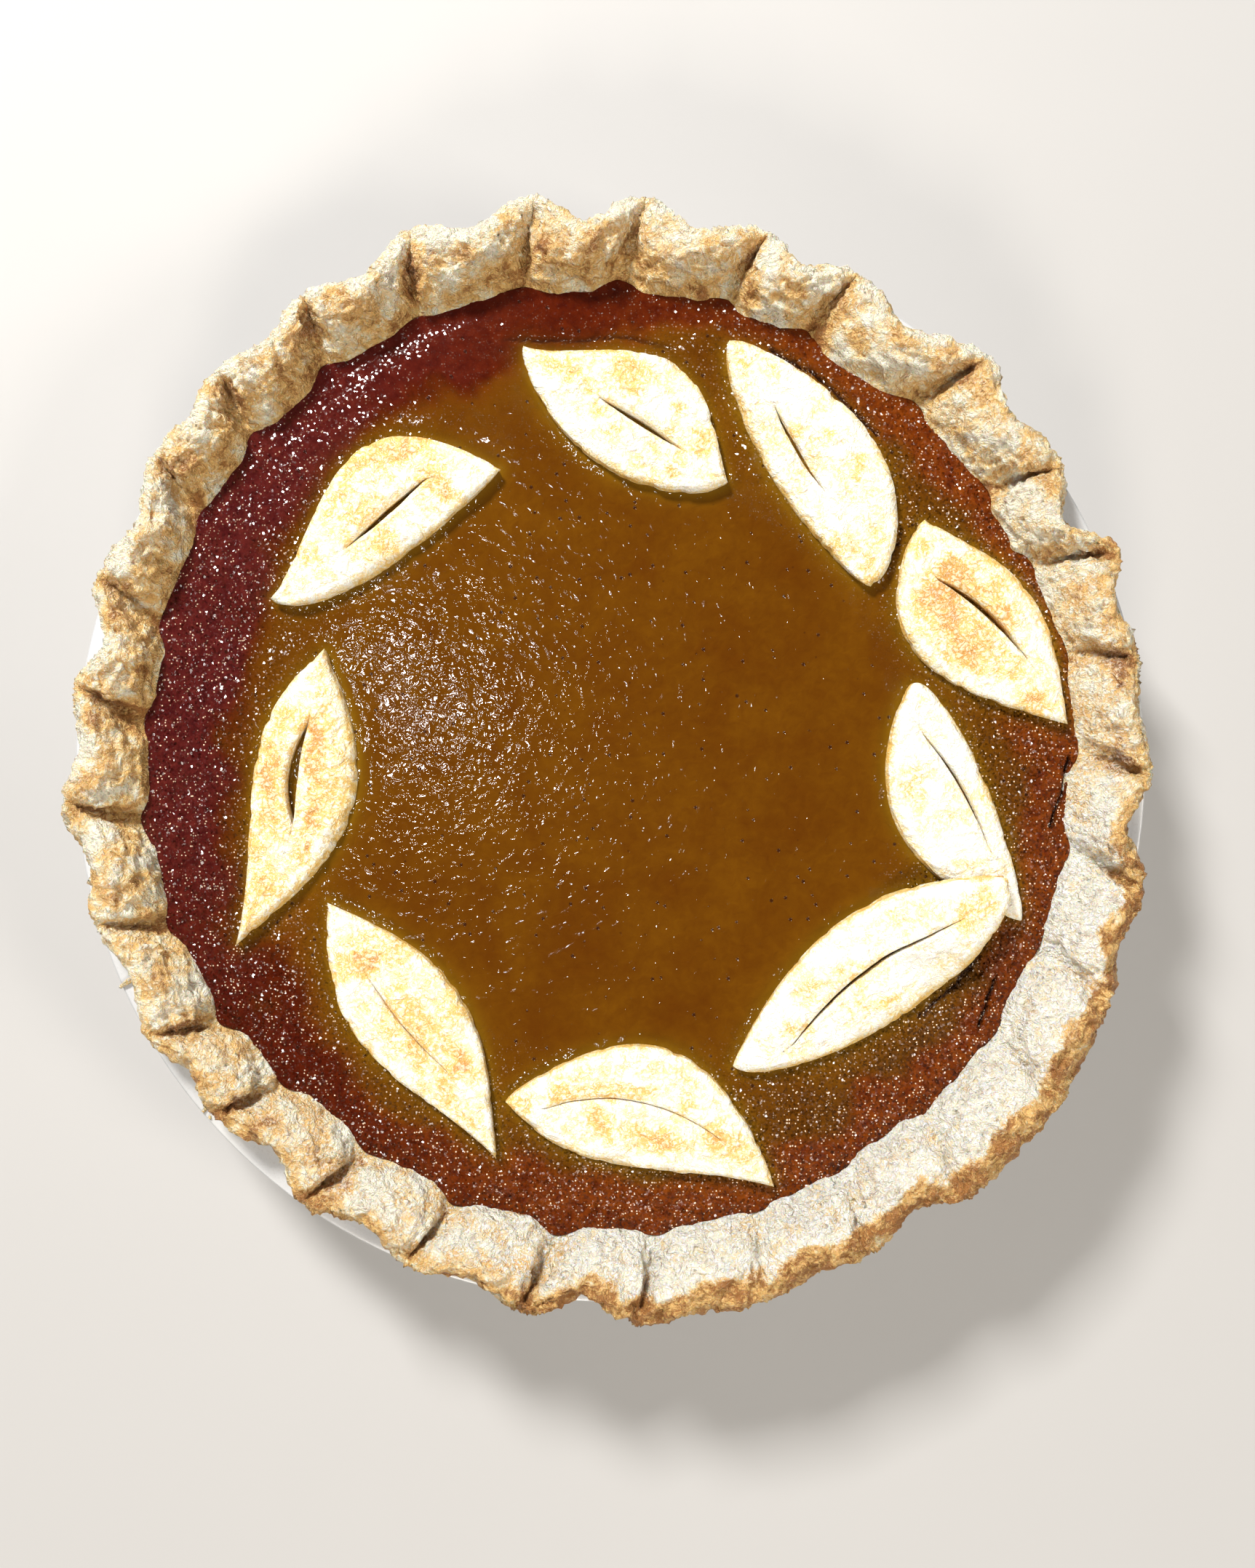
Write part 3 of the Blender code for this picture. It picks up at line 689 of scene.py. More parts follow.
def roughen_crust(grid):
    """Unevenness of the crust in metres, and a mask of painted shade in its tears, pits, fold lines and low places."""
    broad = dough(grid, 10.0 * MM, 2, 11) * 0.75
    skin_of = flakes(grid, 5.0 * MM, 3, 23) - 0.60
    around = np.stack([np.radians(turned) * 0.122, share * 3.0 * MM, 0 * share], -1)
    wrinkle = flakes(around, 2.6 * MM, 2, 31) * 0.45 * crease * ramp(share, 0.05, 0.3)
    tear = 1.0 - ramp(np.abs(dough(grid, 5.0 * MM, 3, 41)), 0.0, 0.10)
    tear = tear * ramp(lumps(grid, 8.0 * MM, 43), -0.05, 0.30) * ramp(share, 0.03, 0.15)
    pocked = pits(grid, 2.8 * MM, 51, 0.3 * MM, 0.9 * MM) * ramp(lumps(grid, 9.0 * MM, 53), -0.3, 0.2)
    askew = from_crease + 0.010 * lumps(around, 6.0 * MM, 33)
    fold = hump(askew, 0.0, 0.020) * ramp(share, 0.22, 0.5) * ramp(0.88 - share, 0.0, 0.10)
    gaps = 0.60 * tear + 0.60 * pocked + 0.65 * fold * keen
    rise = broad + skin_of * mix(1.25, 0.85, crease) + wrinkle - gaps
    # Painted shade: tears, pits, the crease fold lines and the low places between the flakes are darkened.
    gap_shade = 0.45 * tear + 0.50 * pocked + 0.50 * fold * keen + 0.20 * ramp(-skin_of, 0.2, 0.55)
    return rise * MM, np.clip(gap_shade, 0.0, 1.0)


height_added, gaps = roughen_crust(crust_points)
crust_points = crust_points + outward(crust_points) * (height_added * fade)[..., None]
crust_points = np.clip(crust_points, cad_box[0], cad_box[1])
print("crust roughened by up to", round(float(np.abs(height_added * fade).max()) * 1000, 2), "mm")

# %% Where the crust is toasted and floured, with painted shade and painted highlights by how each face meets the lamp
dent = crease * ramp(share, 0.40, 0.62) * ramp(0.93 - share, 0.0, 0.12)
inner = 1.0 - ramp(share, 0.25, 0.60)
outer = ramp(share, 0.62, 0.84)
back = arc_hump(turned, 125.0, 100.0)
front = ramp(arc_hump(turned, 308.0, 75.0), 0.15, 0.55)
patchy = dough(crust_points, 7.0 * MM, 4, 61)
# Real browning with painted shade and light: patchy is uneven browning. The tip hollows and the inner faces at the
# back, turned from the lamp, are darkened. The outer faces at the back, turned to it, are paled.
toasted_and_shaded = 0.12 + 0.36 * dent + 0.70 * patchy + 0.30 * inner * back - 0.38 * outer * back
# Painted shade: the creases are darkened.
toasted_and_shaded = toasted_and_shaded + 0.30 * crease * (1.0 - outer)
# Painted shade and light: the outer faces at the front are darkened and the inner faces there are paled.
toasted_and_shaded = toasted_and_shaded + 0.55 * outer * arc_hump(turned, 285.0, 130.0) - 0.25 * inner * arc_hump(turned, 300.0, 110.0)
over_crest = ramp(share + 0.16 * dough(crust_points, 9.0 * MM, 4, 65), 0.56, 0.68)
# Painted shade and light: at the front the faces inside the crest are paled and those past it are darkened.
toasted_and_shaded = mix(toasted_and_shaded, mix(-0.30 + 0.30 * patchy, 0.80 + 0.45 * patchy, over_crest), front)
# Painted highlight with flour: the inner faces at the front, which face the lamp, are whitened, and the crest band a
# little.
flour_and_highlight = arc_hump(turned, 300.0, 115.0) * (1.0 - ramp(share, 0.45, 0.70)) + 0.15 * (1.0 - inner) * (1.0 - outer)
flour_and_highlight = mix(flour_and_highlight, 1.0 - over_crest, front)
paint = {"toasted_and_shaded": np.clip(toasted_and_shaded, -0.4, 1.0), "flour_and_highlight": np.clip(flour_and_highlight, 0.0, 1.0),
         "deep": gaps * fade, "fanned": crease * ramp(share, 0.05, 0.3) + 0 * gaps,
         "round": np.radians(turned) * 0.122 + 0 * gaps, "out": share * 0.003}
pinched_crust = skin("pinched_crust", crust_points, paint=paint)

# %% [markdown]
# ## Baked pastry
# Shortcrust bakes from the colour of cream to gold, and to brown where it is thin or
# stands up. The crust and the leaves share one recipe with their own values: a pale dough,
# gold by the painted mask and the blotches, brown at the mask's top end, flour dust, dark
# specks, and the crumb for the bump. The mask also carries painted shade and painted light on
# the rim's faces. The flakes paint highlights on their tops and shade in their gaps, and the deep
# mask paints shade in gaps and creases. A thin sheen of egg and butter catches the light.


# %% Pastry finish
def make_pastry(name, stops, depth, level, speckled):
    """Four browning colours by a value: the painted mask, flakes and blotches together, with painted highlights and
    painted shade from the flakes and the deep mask.
    """
    finish, tree, surface = shader(name)
    place = tree.nodes.new("ShaderNodeTexCoord").outputs["Object"]
    coarse = use(tree, FLAKES, Scale=240.0)
    fine = use(tree, FLAKES, Scale=780.0)
    wide = use(tree, BLOTCHES, Scale=150.0, Softness=0.16, Level=level)
    along_fan = add(tree, "ShaderNodeCombineXYZ", X=attribute(tree, "round"), Y=attribute(tree, "out"))
    streaks = add(tree, "ShaderNodeTexNoise", Vector=along_fan.outputs[0], Scale=1100.0, Detail=3.0)
    lines = calculate(tree, "MULTIPLY", attribute(tree, "fanned"), between(tree, streaks.outputs["Fac"], 0.40, 0.62))
    baked = attribute(tree, "toasted_and_shaded")
    # Painted highlight and shade: the flakes' tops are paled, their gaps are darkened, and the streaks darken their
    # grooves. The blotches are real uneven browning.
    for part, share in ((coarse, -0.55), (fine, -0.55), (wide, 0.45), (lines, 0.25)):
        middle = calculate(tree, "SUBTRACT", part, 0.0 if part is lines else 0.5)
        baked = calculate(tree, "ADD", baked, calculate(tree, "MULTIPLY", middle, share))
    colour = blend(tree, between(tree, baked, 0.0, 0.35), stops[0], stops[1])
    colour = blend(tree, between(tree, baked, 0.30, 0.75), colour, stops[2])
    colour = blend(tree, between(tree, baked, 0.75, 1.25), colour, stops[3])
    # Flour dust and painted highlight: the tops of the fine flakes are whitened where the mask says.
    dust_and_highlight = calculate(tree, "MULTIPLY", attribute(tree, "flour_and_highlight"), between(tree, fine, 0.05, 0.55))
    colour = blend(tree, dust_and_highlight, colour, (0.99, 0.97, 0.93))
    # Painted shade: the deep mask darkens gaps, cracks and crease lines towards brown.
    colour = blend(tree, calculate(tree, "MULTIPLY", attribute(tree, "deep"), 0.80), colour, stops[3])
    specks = add(tree, "ShaderNodeTexVoronoi", Vector=place, Scale=420.0, Randomness=1.0)
    here = between(tree, add(tree, "ShaderNodeTexNoise", Vector=place, Scale=170.0).outputs["Fac"], 0.46, 0.58)
    round_speck = calculate(tree, "SUBTRACT", 1.0, between(tree, specks.outputs["Distance"], 0.08, 0.20))
    dark = calculate(tree, "MULTIPLY", round_speck, here)
    colour = blend(tree, calculate(tree, "MULTIPLY", dark, speckled), colour, (0.16, 0.07, 0.025))
    tree.links.new(colour, surface.inputs["Base Color"])
    tree.links.new(calculate(tree, "ADD", calculate(tree, "MULTIPLY", fine, 0.20), 0.33), surface.inputs["Roughness"])
    surface.inputs["Subsurface Weight"].default_value = 0.20
    surface.inputs["Subsurface Radius"].default_value = (1.0, 0.45, 0.20)
    surface.inputs["Subsurface Scale"].default_value = 0.0035
    height = calculate(tree, "ADD", coarse, calculate(tree, "MULTIPLY", fine, 0.40))
    height = calculate(tree, "ADD", height, calculate(tree, "MULTIPLY", use(tree, CRUMB, Scale=900.0, Pores=0.5), 0.25))
    height = calculate(tree, "SUBTRACT", height, calculate(tree, "MULTIPLY", lines, 0.5))
    height = calculate(tree, "SUBTRACT", height, calculate(tree, "MULTIPLY", dark, speckled))
    bump(tree, surface, height, 1.0, depth)
    return finish


CREAM = (0.97, 0.90, 0.72)
STRAW = (0.95, 0.75, 0.45)
GOLD = (0.86, 0.53, 0.19)
BROWN = (0.42, 0.185, 0.052)
pinched_crust.data.materials.append(make_pastry("baked_crust", (CREAM, STRAW, GOLD, BROWN), 0.00155, 0.50, 0.40))
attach(pinched_crust, "root")
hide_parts("crust")

# %% [markdown]
# ## The leaves' outlines
# Each leaf was cut from rolled pastry. Its outline stands off the straight line between
# its two ends, on each side by a width times a power of a sine, so it is round in the
# middle and pointed at the ends. The place where it is widest and how pointed it is
# differ from side to side. A slit is cut along it with a knife, on a slight curve.

# %% Nine leaves
# In millimetres: the two ends, then for the left and the right side, as one looks from
# the first end to the second, the greatest width, where it falls and how pointed the ends
# are. Then the ends and middle of the slit, its width, whether it goes through, how well
# the leaf has browned, and how much of its cut side shows on the left and on the right.
LEAVES = (
    ((-19.7, 98.2), (27.5, 67.0), (16.2, 1.20, 1.10), (12.8, 1.05, 0.60),
     (-2.2, 86.3), (7.2, 80.8), (16.3, 74.7), 1.2, True, 0.02, (0.5, 0.5)),
    ((28.3, 99.6), (61.0, 43.0), (17.6, 1.30, 0.55), (7.2, 0.85, 0.65),
     (38.6, 84.2), (44.0, 74.2), (50.2, 64.8), 1.0, True, 0.05, (0.5, 1.0)),
    ((73.4, 57.6), (107.0, 10.4), (11.2, 1.00, 0.95), (19.0, 0.75, 0.95),
     (75.7, 44.0), (86.5, 37.6), (97.7, 24.9), 1.2, True, 0.42, (2.2, 0.6)),
    ((71.0, 19.5), (96.0, -35.6), (6.4, 0.75, 0.60), (16.9, 0.95, 0.80),
     (72.6, 8.3), (81.8, -3.8), (88.6, -19.0), 0.5, True, -0.05, (0.5, 1.2)),
    ((29.1, -70.3), (91.5, -26.0), (12.9, 1.10, 0.80), (13.7, 1.15, 0.45),
     (42.3, -66.2), (59.0, -48.9), (80.9, -35.6), 0.7, True, -0.08, (0.5, 2.2)),
    ((-24.8, -78.5), (38.2, -97.8), (22.6, 1.00, 0.85), (7.4, 0.65, 1.55),
     (-16.0, -80.4), (5.0, -78.3), (25.3, -86.8), 1.2, False, 0.18, (0.5, 2.0)),
    ((-66.2, -32.4), (-26.7, -91.5), (13.7, 0.95, 1.05), (12.2, 0.75, 1.35),
     (-56.4, -50.1), (-47.2, -62.4), (-36.2, -72.9), 1.0, False, 0.50, (0.6, 0.8)),
    ((-67.1, 27.4), (-87.0, -41.0), (16.4, 0.95, 1.00), (8.9, 0.65, 1.55),
     (-70.3, 11.2), (-74.6, -2.0), (-73.5, -15.4), 2.5, True, 0.70, (2.0, 0.8)),
    ((-26.2, 70.2), (-79.0, 40.0), (7.3, 1.70, 0.45), (20.1, 0.75, 1.25),
     (-43.2, 67.6), (-52.4, 59.8), (-61.3, 51.6), 1.4, True, 0.40, (0.8, 0.6)),
)
LEAF_SIDE = 110                 # columns along each side of a leaf


def leaf_shares(count):
    """Share of the length and side (1 left, -1 right) of each column round a leaf."""
    out = 0.5 - 0.5 * np.cos(np.pi * np.arange(count + 1) / count)
    return np.concatenate([out, out[-2:0:-1]]), np.concatenate([np.ones(count + 1), -np.ones(count - 1)])


def leaf_edge(spec, share, side, inset):
    """Points on a leaf's outline, drawn in along and across its length by an inset.

    The distance off the middle line is width x sin(pi x share^place)^pointedness.
    """
    first, second = np.array(spec[0]) * MM, np.array(spec[1]) * MM
    width, place, pointed = [np.where(side > 0, spec[2][k], spec[3][k]) for k in range(3)]
    line = second - first
    length = np.linalg.norm(line)
    across = np.array([-line[1], line[0]]) / length
    off = (width * MM - inset) * np.sin(np.pi * share ** place).clip(0.0) ** pointed * side
    shrink = 1.0 - 2.0 * inset / length
    return first + line * (0.5 + (share - 0.5) * shrink)[:, None] + across * off[:, None]


def slit_edge(spec, share, side, width):
    """Points on the slit's edge: a curve through three points, widest in its middle."""
    start, middle, end = [np.array(spec[k]) * MM for k in (4, 5, 6)]
    bow = middle - (start + end) / 2.0
    line = start + (end - start) * share[:, None] + bow * (4.0 * share * (1.0 - share))[:, None]
    direction = (end - start) / np.linalg.norm(end - start)
    across = np.array([-direction[1], direction[0]])
    return line + across * (side * width / 2.0 * np.sin(np.pi * share))[:, None]


def to_outline(points, outline):
    """Distance from each point to a closed outline, negative inside it."""
    shape = points.shape[:-1]
    flat = points.reshape(-1, 1, 2)
    start = outline[None]
    step = np.roll(outline, -1, axis=0)[None] - start
    t = np.clip(np.sum((flat - start) * step, -1) / np.sum(step * step, -1), 0.0, 1.0)
    nearest = np.linalg.norm(flat - start - step * t[..., None], axis=-1).min(axis=1)
    above = (start[..., 1] > flat[..., 1]) != (start[..., 1] + step[..., 1] > flat[..., 1])
    reach_x = start[..., 0] + step[..., 0] * (flat[..., 1] - start[..., 1]) / np.where(step[..., 1] == 0, 1e-12, step[..., 1])
    inside = np.sum(above & (flat[..., 0] < reach_x), axis=1) % 2 == 1
    return np.where(inside, -nearest, nearest).reshape(shape)


outlines = [leaf_edge(spec, *leaf_shares(16), 0.0) for spec in LEAVES]
print("leaf lengths (mm)", [round(math.dist(spec[0], spec[1]), 1) for spec in LEAVES])

# %% [markdown]
# ## The filling
# Pumpkin custard sets to a skin that is smooth and moist in the middle. It rises and dries
# towards the crust, where it is dark and grainy, with soft folds that run round with the
# rim, and it tears a little beside the leaves as it cools and shrinks. The top is a grid
# of rings that grow from the middle into the outline of the crust. Its height is the sum
# of a broad dish, folds, ripples, pits, a small wave along every leaf, and a few cracks.

# %% Cracks and how the filling lies
# Each crack is a line through a few points, in millimetres, then its width and depth.
CRACKS = (
    (((38.0, 98.5), (41.5, 96.4), (49.0, 92.6), (56.6, 84.8), (63.0, 78.2)), 0.7, 1.4),
    (((69.0, 57.0), (67.6, 52.0), (65.5, 47.0)), 0.5, 0.9),
    (((89.7, -37.0), (86.5, -45.0), (82.0, -51.0), (73.0, -59.0)), 0.8, 1.3),
    (((91.0, -50.0), (89.4, -54.5), (87.2, -61.5)), 0.8, 1.2),
    (((108.0, 2.0), (107.0, -5.0), (104.0, -14.0)), 0.7, 1.2),
    (((-26.0, 101.0), (-12.0, 100.5), (4.0, 101.5), (14.0, 99.0)), 0.6, 0.7),
)
VALLEY_RADIUS = 112.2 * MM
FILLING_SINK = 1.2 * MM
FILLING_PUFF = 3.0 * MM


def filling_level(points):
    """The broad dish: sunk in the middle, risen in a soft ring near the crust."""
    u = np.minimum(np.hypot(points[..., 0], points[..., 1]) / VALLEY_RADIUS, 1.0)
    return FILLING_LEVEL - FILLING_SINK * (1.0 - u * u) + FILLING_PUFF * (u ** 4 - u ** 10)


def to_line(points, line):
    """Distance from each point to an open line through a few points."""
    line = np.array(line) * MM
    start, step = line[:-1], np.diff(line, axis=0)
    flat = points[..., None, :]
    t = np.clip(np.sum((flat - start) * step, -1) / np.sum(step * step, -1), 0.0, 1.0)
    return np.linalg.norm(flat - start - step * t[..., None], axis=-1).min(axis=-1)


# %% Pour the filling
fill_number, fill_phase, fill_angle, _ = around_rim(24)
FILL_RINGS = 124
fill_edge = lip_radius(fill_number, fill_phase)
fill_share = np.sin(np.linspace(0.02, 1.0, FILL_RINGS) * np.pi / 2.0 * 0.92) / np.sin(np.pi / 2.0 * 0.92)
fill_radius = (fill_edge + 0.3 * MM) * fill_share[:, None]
fill_turn = fill_angle + SLANT
fill_flat = polar(fill_radius, fill_turn, 0.0)
fill_top = filling_level(fill_flat)
spot = fill_flat[..., :2]
leaf_away = np.min([to_outline(spot, outline) for outline in outlines], axis=0)
crust_away = fill_edge - fill_radius
print("filling grid", fill_flat.shape, "mean spacing", round(0.111 / FILL_RINGS * 1000, 2), "mm")


def filling_relief():
    """Height over the broad dish, in metres, and a mask of the cracks."""
    ring = ramp(fill_radius, 66.0 * MM, 100.0 * MM)
    outside = ramp(leaf_away, -0.5 * MM, 1.0 * MM)
    turned = np.stack([fill_radius / (5.5 * MM), np.radians(fill_turn) * 2.6 + 0 * fill_radius, 0 * fill_radius], -1)
    inside = ramp(crust_away, 0.0, 4.0 * MM)
    calm = 1.0 - 0.8 * arc_hump(fill_turn, 105.0, 65.0)
    folds = dough(turned, 1.0, 3, 71) * 0.60 * ring * inside * calm
    ripples = dough(fill_flat, 9.0 * MM, 2, 81) * mix(0.05, 0.16 * calm, ring) * inside
    fine = dough(fill_flat, 2.4 * MM, 2, 91) * 0.09 * ring * calm
    wave = 0.28 * hump(leaf_away, 0.2 * MM, 1.0 * MM) - 0.16 * hump(leaf_away, 3.0 * MM, 1.6 * MM)
    wave = wave * (0.55 + 0.9 * lumps(fill_flat, 5.0 * MM, 93)) + 0.20 * hump(leaf_away, 6.5 * MM, 2.0 * MM) * ring
    climb = 0.2 * hump(crust_away, 0.0, 1.6 * MM)
    cracks = 0.0 * fill_radius
    jitter = spot + 0.5 * MM * np.stack([lumps(fill_flat, 3.0 * MM, 111), lumps(fill_flat, 3.0 * MM, 113)], -1)
    for line, width, depth in CRACKS:
        open_here = 1.0 - ramp(to_line(jitter, line), 0.0, width * MM)
        cracks = np.maximum(cracks, open_here * depth)
    bubble = 0.9 * hump(np.linalg.norm(spot - np.array([29.2, 68.6]) * MM, axis=-1), 0.0, 1.5 * MM)
    hole = -1.1 * hump(np.linalg.norm(spot - np.array([36.3, 67.4]) * MM, axis=-1), 0.0, 0.8 * MM)
    level = (folds + ripples + fine) * outside + wave + climb - cracks + bubble + hole
    return level * MM, cracks, ring


relief, cracked, ring = filling_relief()
fill_grid = fill_flat.copy()
fill_grid[..., 2] = fill_top + relief
floor_radius, floor_height = case_rows(1)
below = polar(np.stack([fill_edge - 1.2 * MM, 0 * fill_edge + floor_radius - 0.6 * MM, 0 * fill_edge + 3.0 * MM]),
              np.stack([fill_turn, fill_turn, fill_turn]),
              np.array([FILLING_LEVEL - 2.5 * MM, floor_height + 0.6 * MM, floor_height + 0.6 * MM])[:, None])
fill_grid = np.concatenate([fill_grid, below])


# %% How dark the filling has baked
def pad(value):
    """Carries the top's last row of values down the hidden side."""
    return np.concatenate([value, np.repeat(value[-1:], len(below), axis=0)])


wander = dough(fill_flat, 22.0 * MM, 4, 121)
back_left = arc_hump(fill_turn, 160.0, 95.0)[None, :] + 0 * fill_radius
band = mix(15.0, 33.0, back_left) * MM
ring_colour = 1.0 - ramp(crust_away + wander * 10.0 * MM, band * 0.40, band * 1.15)
maroon = ring_colour * arc_hump(fill_turn, 160.0, 135.0)
top = arc_hump(fill_turn, 105.0, 65.0)
# Grain and painted glints: how steep the skin's facets are, how rough it is and how many glints are painted. There are
# fewest at the top and most at the front right.
grain_and_glints = ring * (1.0 - 0.95 * top) * (1.0 + 0.9 * arc_hump(fill_turn, 325.0, 110.0))
rippled = 1.0 - ring * mix(0.70, 0.97, top)
dull = ring * ramp(top, 0.10, 0.75)
halo = np.exp(-np.clip(leaf_away - 0.3 * MM, 0.0, None) / (1.5 * MM))
fill_paint = {"ring": pad(ring_colour), "maroon": pad(maroon), "halo": pad(halo),
              "cracked": pad(np.clip(cracked, 0.0, 1.0)), "grain_and_glints": pad(grain_and_glints),
              "rippled": pad(rippled), "dull": pad(dull)}
baked_filling = skin("baked_filling", fill_grid, paint=fill_paint)

# %% [markdown]
# ## Custard's finish
# The middle is golden brown and wet, and its small ripples break up the light. The ring is
# russet, and mahogany at the back left where the oven was hottest. It looks granular,
# because its dry skin is covered with tiny bumps that each catch a point of light, and pale
# glints are painted on its colour too. Beside the leaves their butter has stained the
# custard olive gold.


# %% Baked custard
def make_custard():
    """Browns by the painted masks, pores and cracks darkened as painted shade, ripples in the middle, beads in the ring
    and painted glints on the ring.
    """
    finish, tree, surface = shader("baked_custard")
    ring = attribute(tree, "ring")
    grain_and_glints = attribute(tree, "grain_and_glints")
    maroon = attribute(tree, "maroon")
    place = tree.nodes.new("ShaderNodeTexCoord").outputs["Object"]
    wide = use(tree, BLOTCHES, Scale=60.0, Softness=0.2, Level=0.5)
    fine = use(tree, BLOTCHES, Scale=420.0, Softness=0.2, Level=0.5)
    middle = blend(tree, wide, (0.092, 0.026, 0.0006), (0.130, 0.047, 0.0011))
    middle = blend(tree, calculate(tree, "MULTIPLY", fine, 0.45), middle, (0.070, 0.018, 0.0006))
    russet = blend(tree, fine, (0.080, 0.010, 0.0008), (0.190, 0.040, 0.0024))
    mahogany = blend(tree, fine, (0.042, 0.0032, 0.0006), (0.080, 0.0085, 0.0010))
    plum = blend(tree, fine, (0.042, 0.0035, 0.0040), (0.090, 0.0110, 0.0090))
    baked = blend(tree, between(tree, maroon, 0.0, 0.55), russet, mahogany)
    baked = blend(tree, between(tree, maroon, 0.55, 1.0), baked, plum)
    shade = calculate(tree, "ADD", ring, calculate(tree, "MULTIPLY", calculate(tree, "SUBTRACT", wide, 0.5), 0.3))
    colour = blend(tree, between(tree, shade, 0.0, 1.0), middle, baked)
    colour = blend(tree, calculate(tree, "MULTIPLY", attribute(tree, "halo"), 0.8), colour, (0.170, 0.085, 0.003))
    # Painted shade: the pores are darkened nearly to black.
    pore = add(tree, "ShaderNodeTexVoronoi", Vector=place, Scale=260.0, Randomness=1.0).outputs["Distance"]
    holes = calculate(tree, "SUBTRACT", 1.0, between(tree, pore, 0.06, 0.14))
    colour = blend(tree, calculate(tree, "MULTIPLY", holes, 0.8), colour, (0.020, 0.004, 0.002))
    # Painted shade: the cracks are darkened nearly to black.
    colour = blend(tree, attribute(tree, "cracked"), colour, (0.020, 0.006, 0.003))
    # Painted highlight: scattered pale dots in the base colour stand in for glints on the grains.
    grain = add(tree, "ShaderNodeTexVoronoi", Vector=place, Scale=1500.0, Randomness=1.0)
    dot = calculate(tree, "SUBTRACT", 1.0, between(tree, grain.outputs["Distance"], 0.22, 0.34))
    chosen = between(tree, grain.outputs["Color"], 0.56, 0.62)
    painted_glints = calculate(tree, "MULTIPLY", calculate(tree, "MULTIPLY", dot, chosen), between(tree, fine, 0.2, 0.8))
    colour = blend(tree, calculate(tree, "MULTIPLY", painted_glints, calculate(tree, "MULTIPLY", grain_and_glints, 0.80)), colour,
                   (0.92, 0.70, 0.50))
    tree.links.new(colour, surface.inputs["Base Color"])
    shine = calculate(tree, "ADD", calculate(tree, "MULTIPLY", grain_and_glints, 0.10), 0.04)
    tree.links.new(calculate(tree, "ADD", shine, calculate(tree, "MULTIPLY", attribute(tree, "dull"), 0.03)),
                   surface.inputs["Roughness"])
    surface.inputs["Specular IOR Level"].default_value = 0.24
    crystals = calculate(tree, "MULTIPLY", use(tree, FACETS, Scale=2000.0), calculate(tree, "MULTIPLY", grain_and_glints, 12.0))
    ripple = add(tree, "ShaderNodeTexNoise", Vector=place, Scale=420.0, Detail=2.0, Roughness=0.5,
                 Distortion=0.9).outputs["Fac"]
    ripple = calculate(tree, "MULTIPLY", ripple, attribute(tree, "rippled"))
    waves = calculate(tree, "SUBTRACT", calculate(tree, "ADD", ripple, crystals), calculate(tree, "MULTIPLY", holes, 0.8))
    bump(tree, surface, waves, 1.0, 0.00019)
    return finish


baked_filling.data.materials.append(make_custard())
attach(baked_filling, "root")
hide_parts("filling")

# %% [markdown]
# ## Laying the leaves
# A leaf is a low cushion of pastry, half sunk in the filling. Its skin starts under the
# leaf, turns up round the cut edge, rises to a crown and dips to the slit. A slit that goes
# through joins the top to the underside, and a scored one ends in a groove. Its surface is
# lumpy, its edge a little ragged, and it browns in patches along the high places.

# %% Shape the leaves
# Places that have browned, in millimetres: the two ends, half the width and how strongly.
BROWNED = (
    ((-14.0, 95.0), (6.0, 92.0), 5.0, 0.40), ((-5.0, 87.0), (1.0, 80.0), 1.6, 0.45),
    ((15.5, 84.5), (16.5, 84.0), 1.8, 0.90), ((21.0, 77.0), (22.0, 76.0), 2.4, 0.70),
    ((12.0, 68.0), (14.0, 68.5), 2.0, 0.40), ((50.5, 77.0), (53.0, 76.5), 2.4, 0.80),
    ((47.5, 75.0), (48.5, 74.0), 1.8, 0.50), ((57.0, 72.0), (58.5, 67.0), 1.6, 0.50),
    ((61.0, 47.0), (62.0, 44.0), 3.0, 0.60), ((72.5, 52.0), (73.0, 50.0), 2.0, 0.60),
    ((80.0, 47.0), (93.0, 34.0), 2.8, 0.80), ((76.0, 40.0), (86.0, 27.0), 5.0, 0.75),
    ((91.5, 26.0), (93.0, 22.0), 2.6, 0.70), ((99.0, 16.0), (101.5, 12.0), 2.6, 0.55),
    ((79.0, -23.0), (86.0, -24.0), 1.8, 0.45), ((67.4, -53.1), (64.5, -55.8), 1.5, 0.90),
    ((41.0, -61.5), (47.0, -61.5), 1.8, 0.60), ((45.0, -54.0), (60.0, -47.0), 2.6, 0.28),
    ((83.0, -34.0), (90.0, -28.0), 3.0, 0.50), ((-14.0, -76.5), (10.0, -76.0), 1.8, 0.75),
    ((-3.0, -82.5), (-1.0, -86.0), 2.4, 0.60), ((8.0, -86.5), (18.0, -89.0), 2.2, 0.55),
    ((25.5, -86.0), (31.0, -90.5), 3.0, 0.55), ((20.0, -79.0), (24.0, -79.0), 1.4, 0.45),
    ((-24.0, -79.0), (-20.0, -80.0), 2.4, 0.60), ((-57.5, -44.5), (-56.0, -46.5), 3.2, 1.00),
    ((-50.0, -54.0), (-35.0, -70.0), 3.0, 0.70), ((-45.0, -67.0), (-44.0, -69.0), 2.8, 0.60),
    ((-38.5, -74.0), (-37.5, -76.0), 2.2, 0.70), ((-79.5, 3.0), (-79.5, -12.0), 2.6, 0.80),
    ((-69.0, 8.0), (-69.5, -13.0), 2.2, 0.80), ((-80.8, -28.0), (-80.0, -30.5), 2.8, 0.60),
    ((-71.7, -18.5), (-71.3, -19.5), 0.9, 1.20), ((-59.0, 71.5), (-44.0, 76.0), 3.0, 0.75),
    ((-41.5, 68.0), (-40.0, 66.0), 3.0, 0.65), ((-54.0, 53.5), (-52.0, 52.5), 3.2, 0.75),
    ((-71.0, 50.5), (-69.0, 49.5), 3.0, 0.40),
)
LEAF_THICKNESS = 3.2 * MM
LEAF_SUNK = 1.0 * MM
LEAF_OVER = 4                   # the fifth leaf's far end lies over the fourth leaf
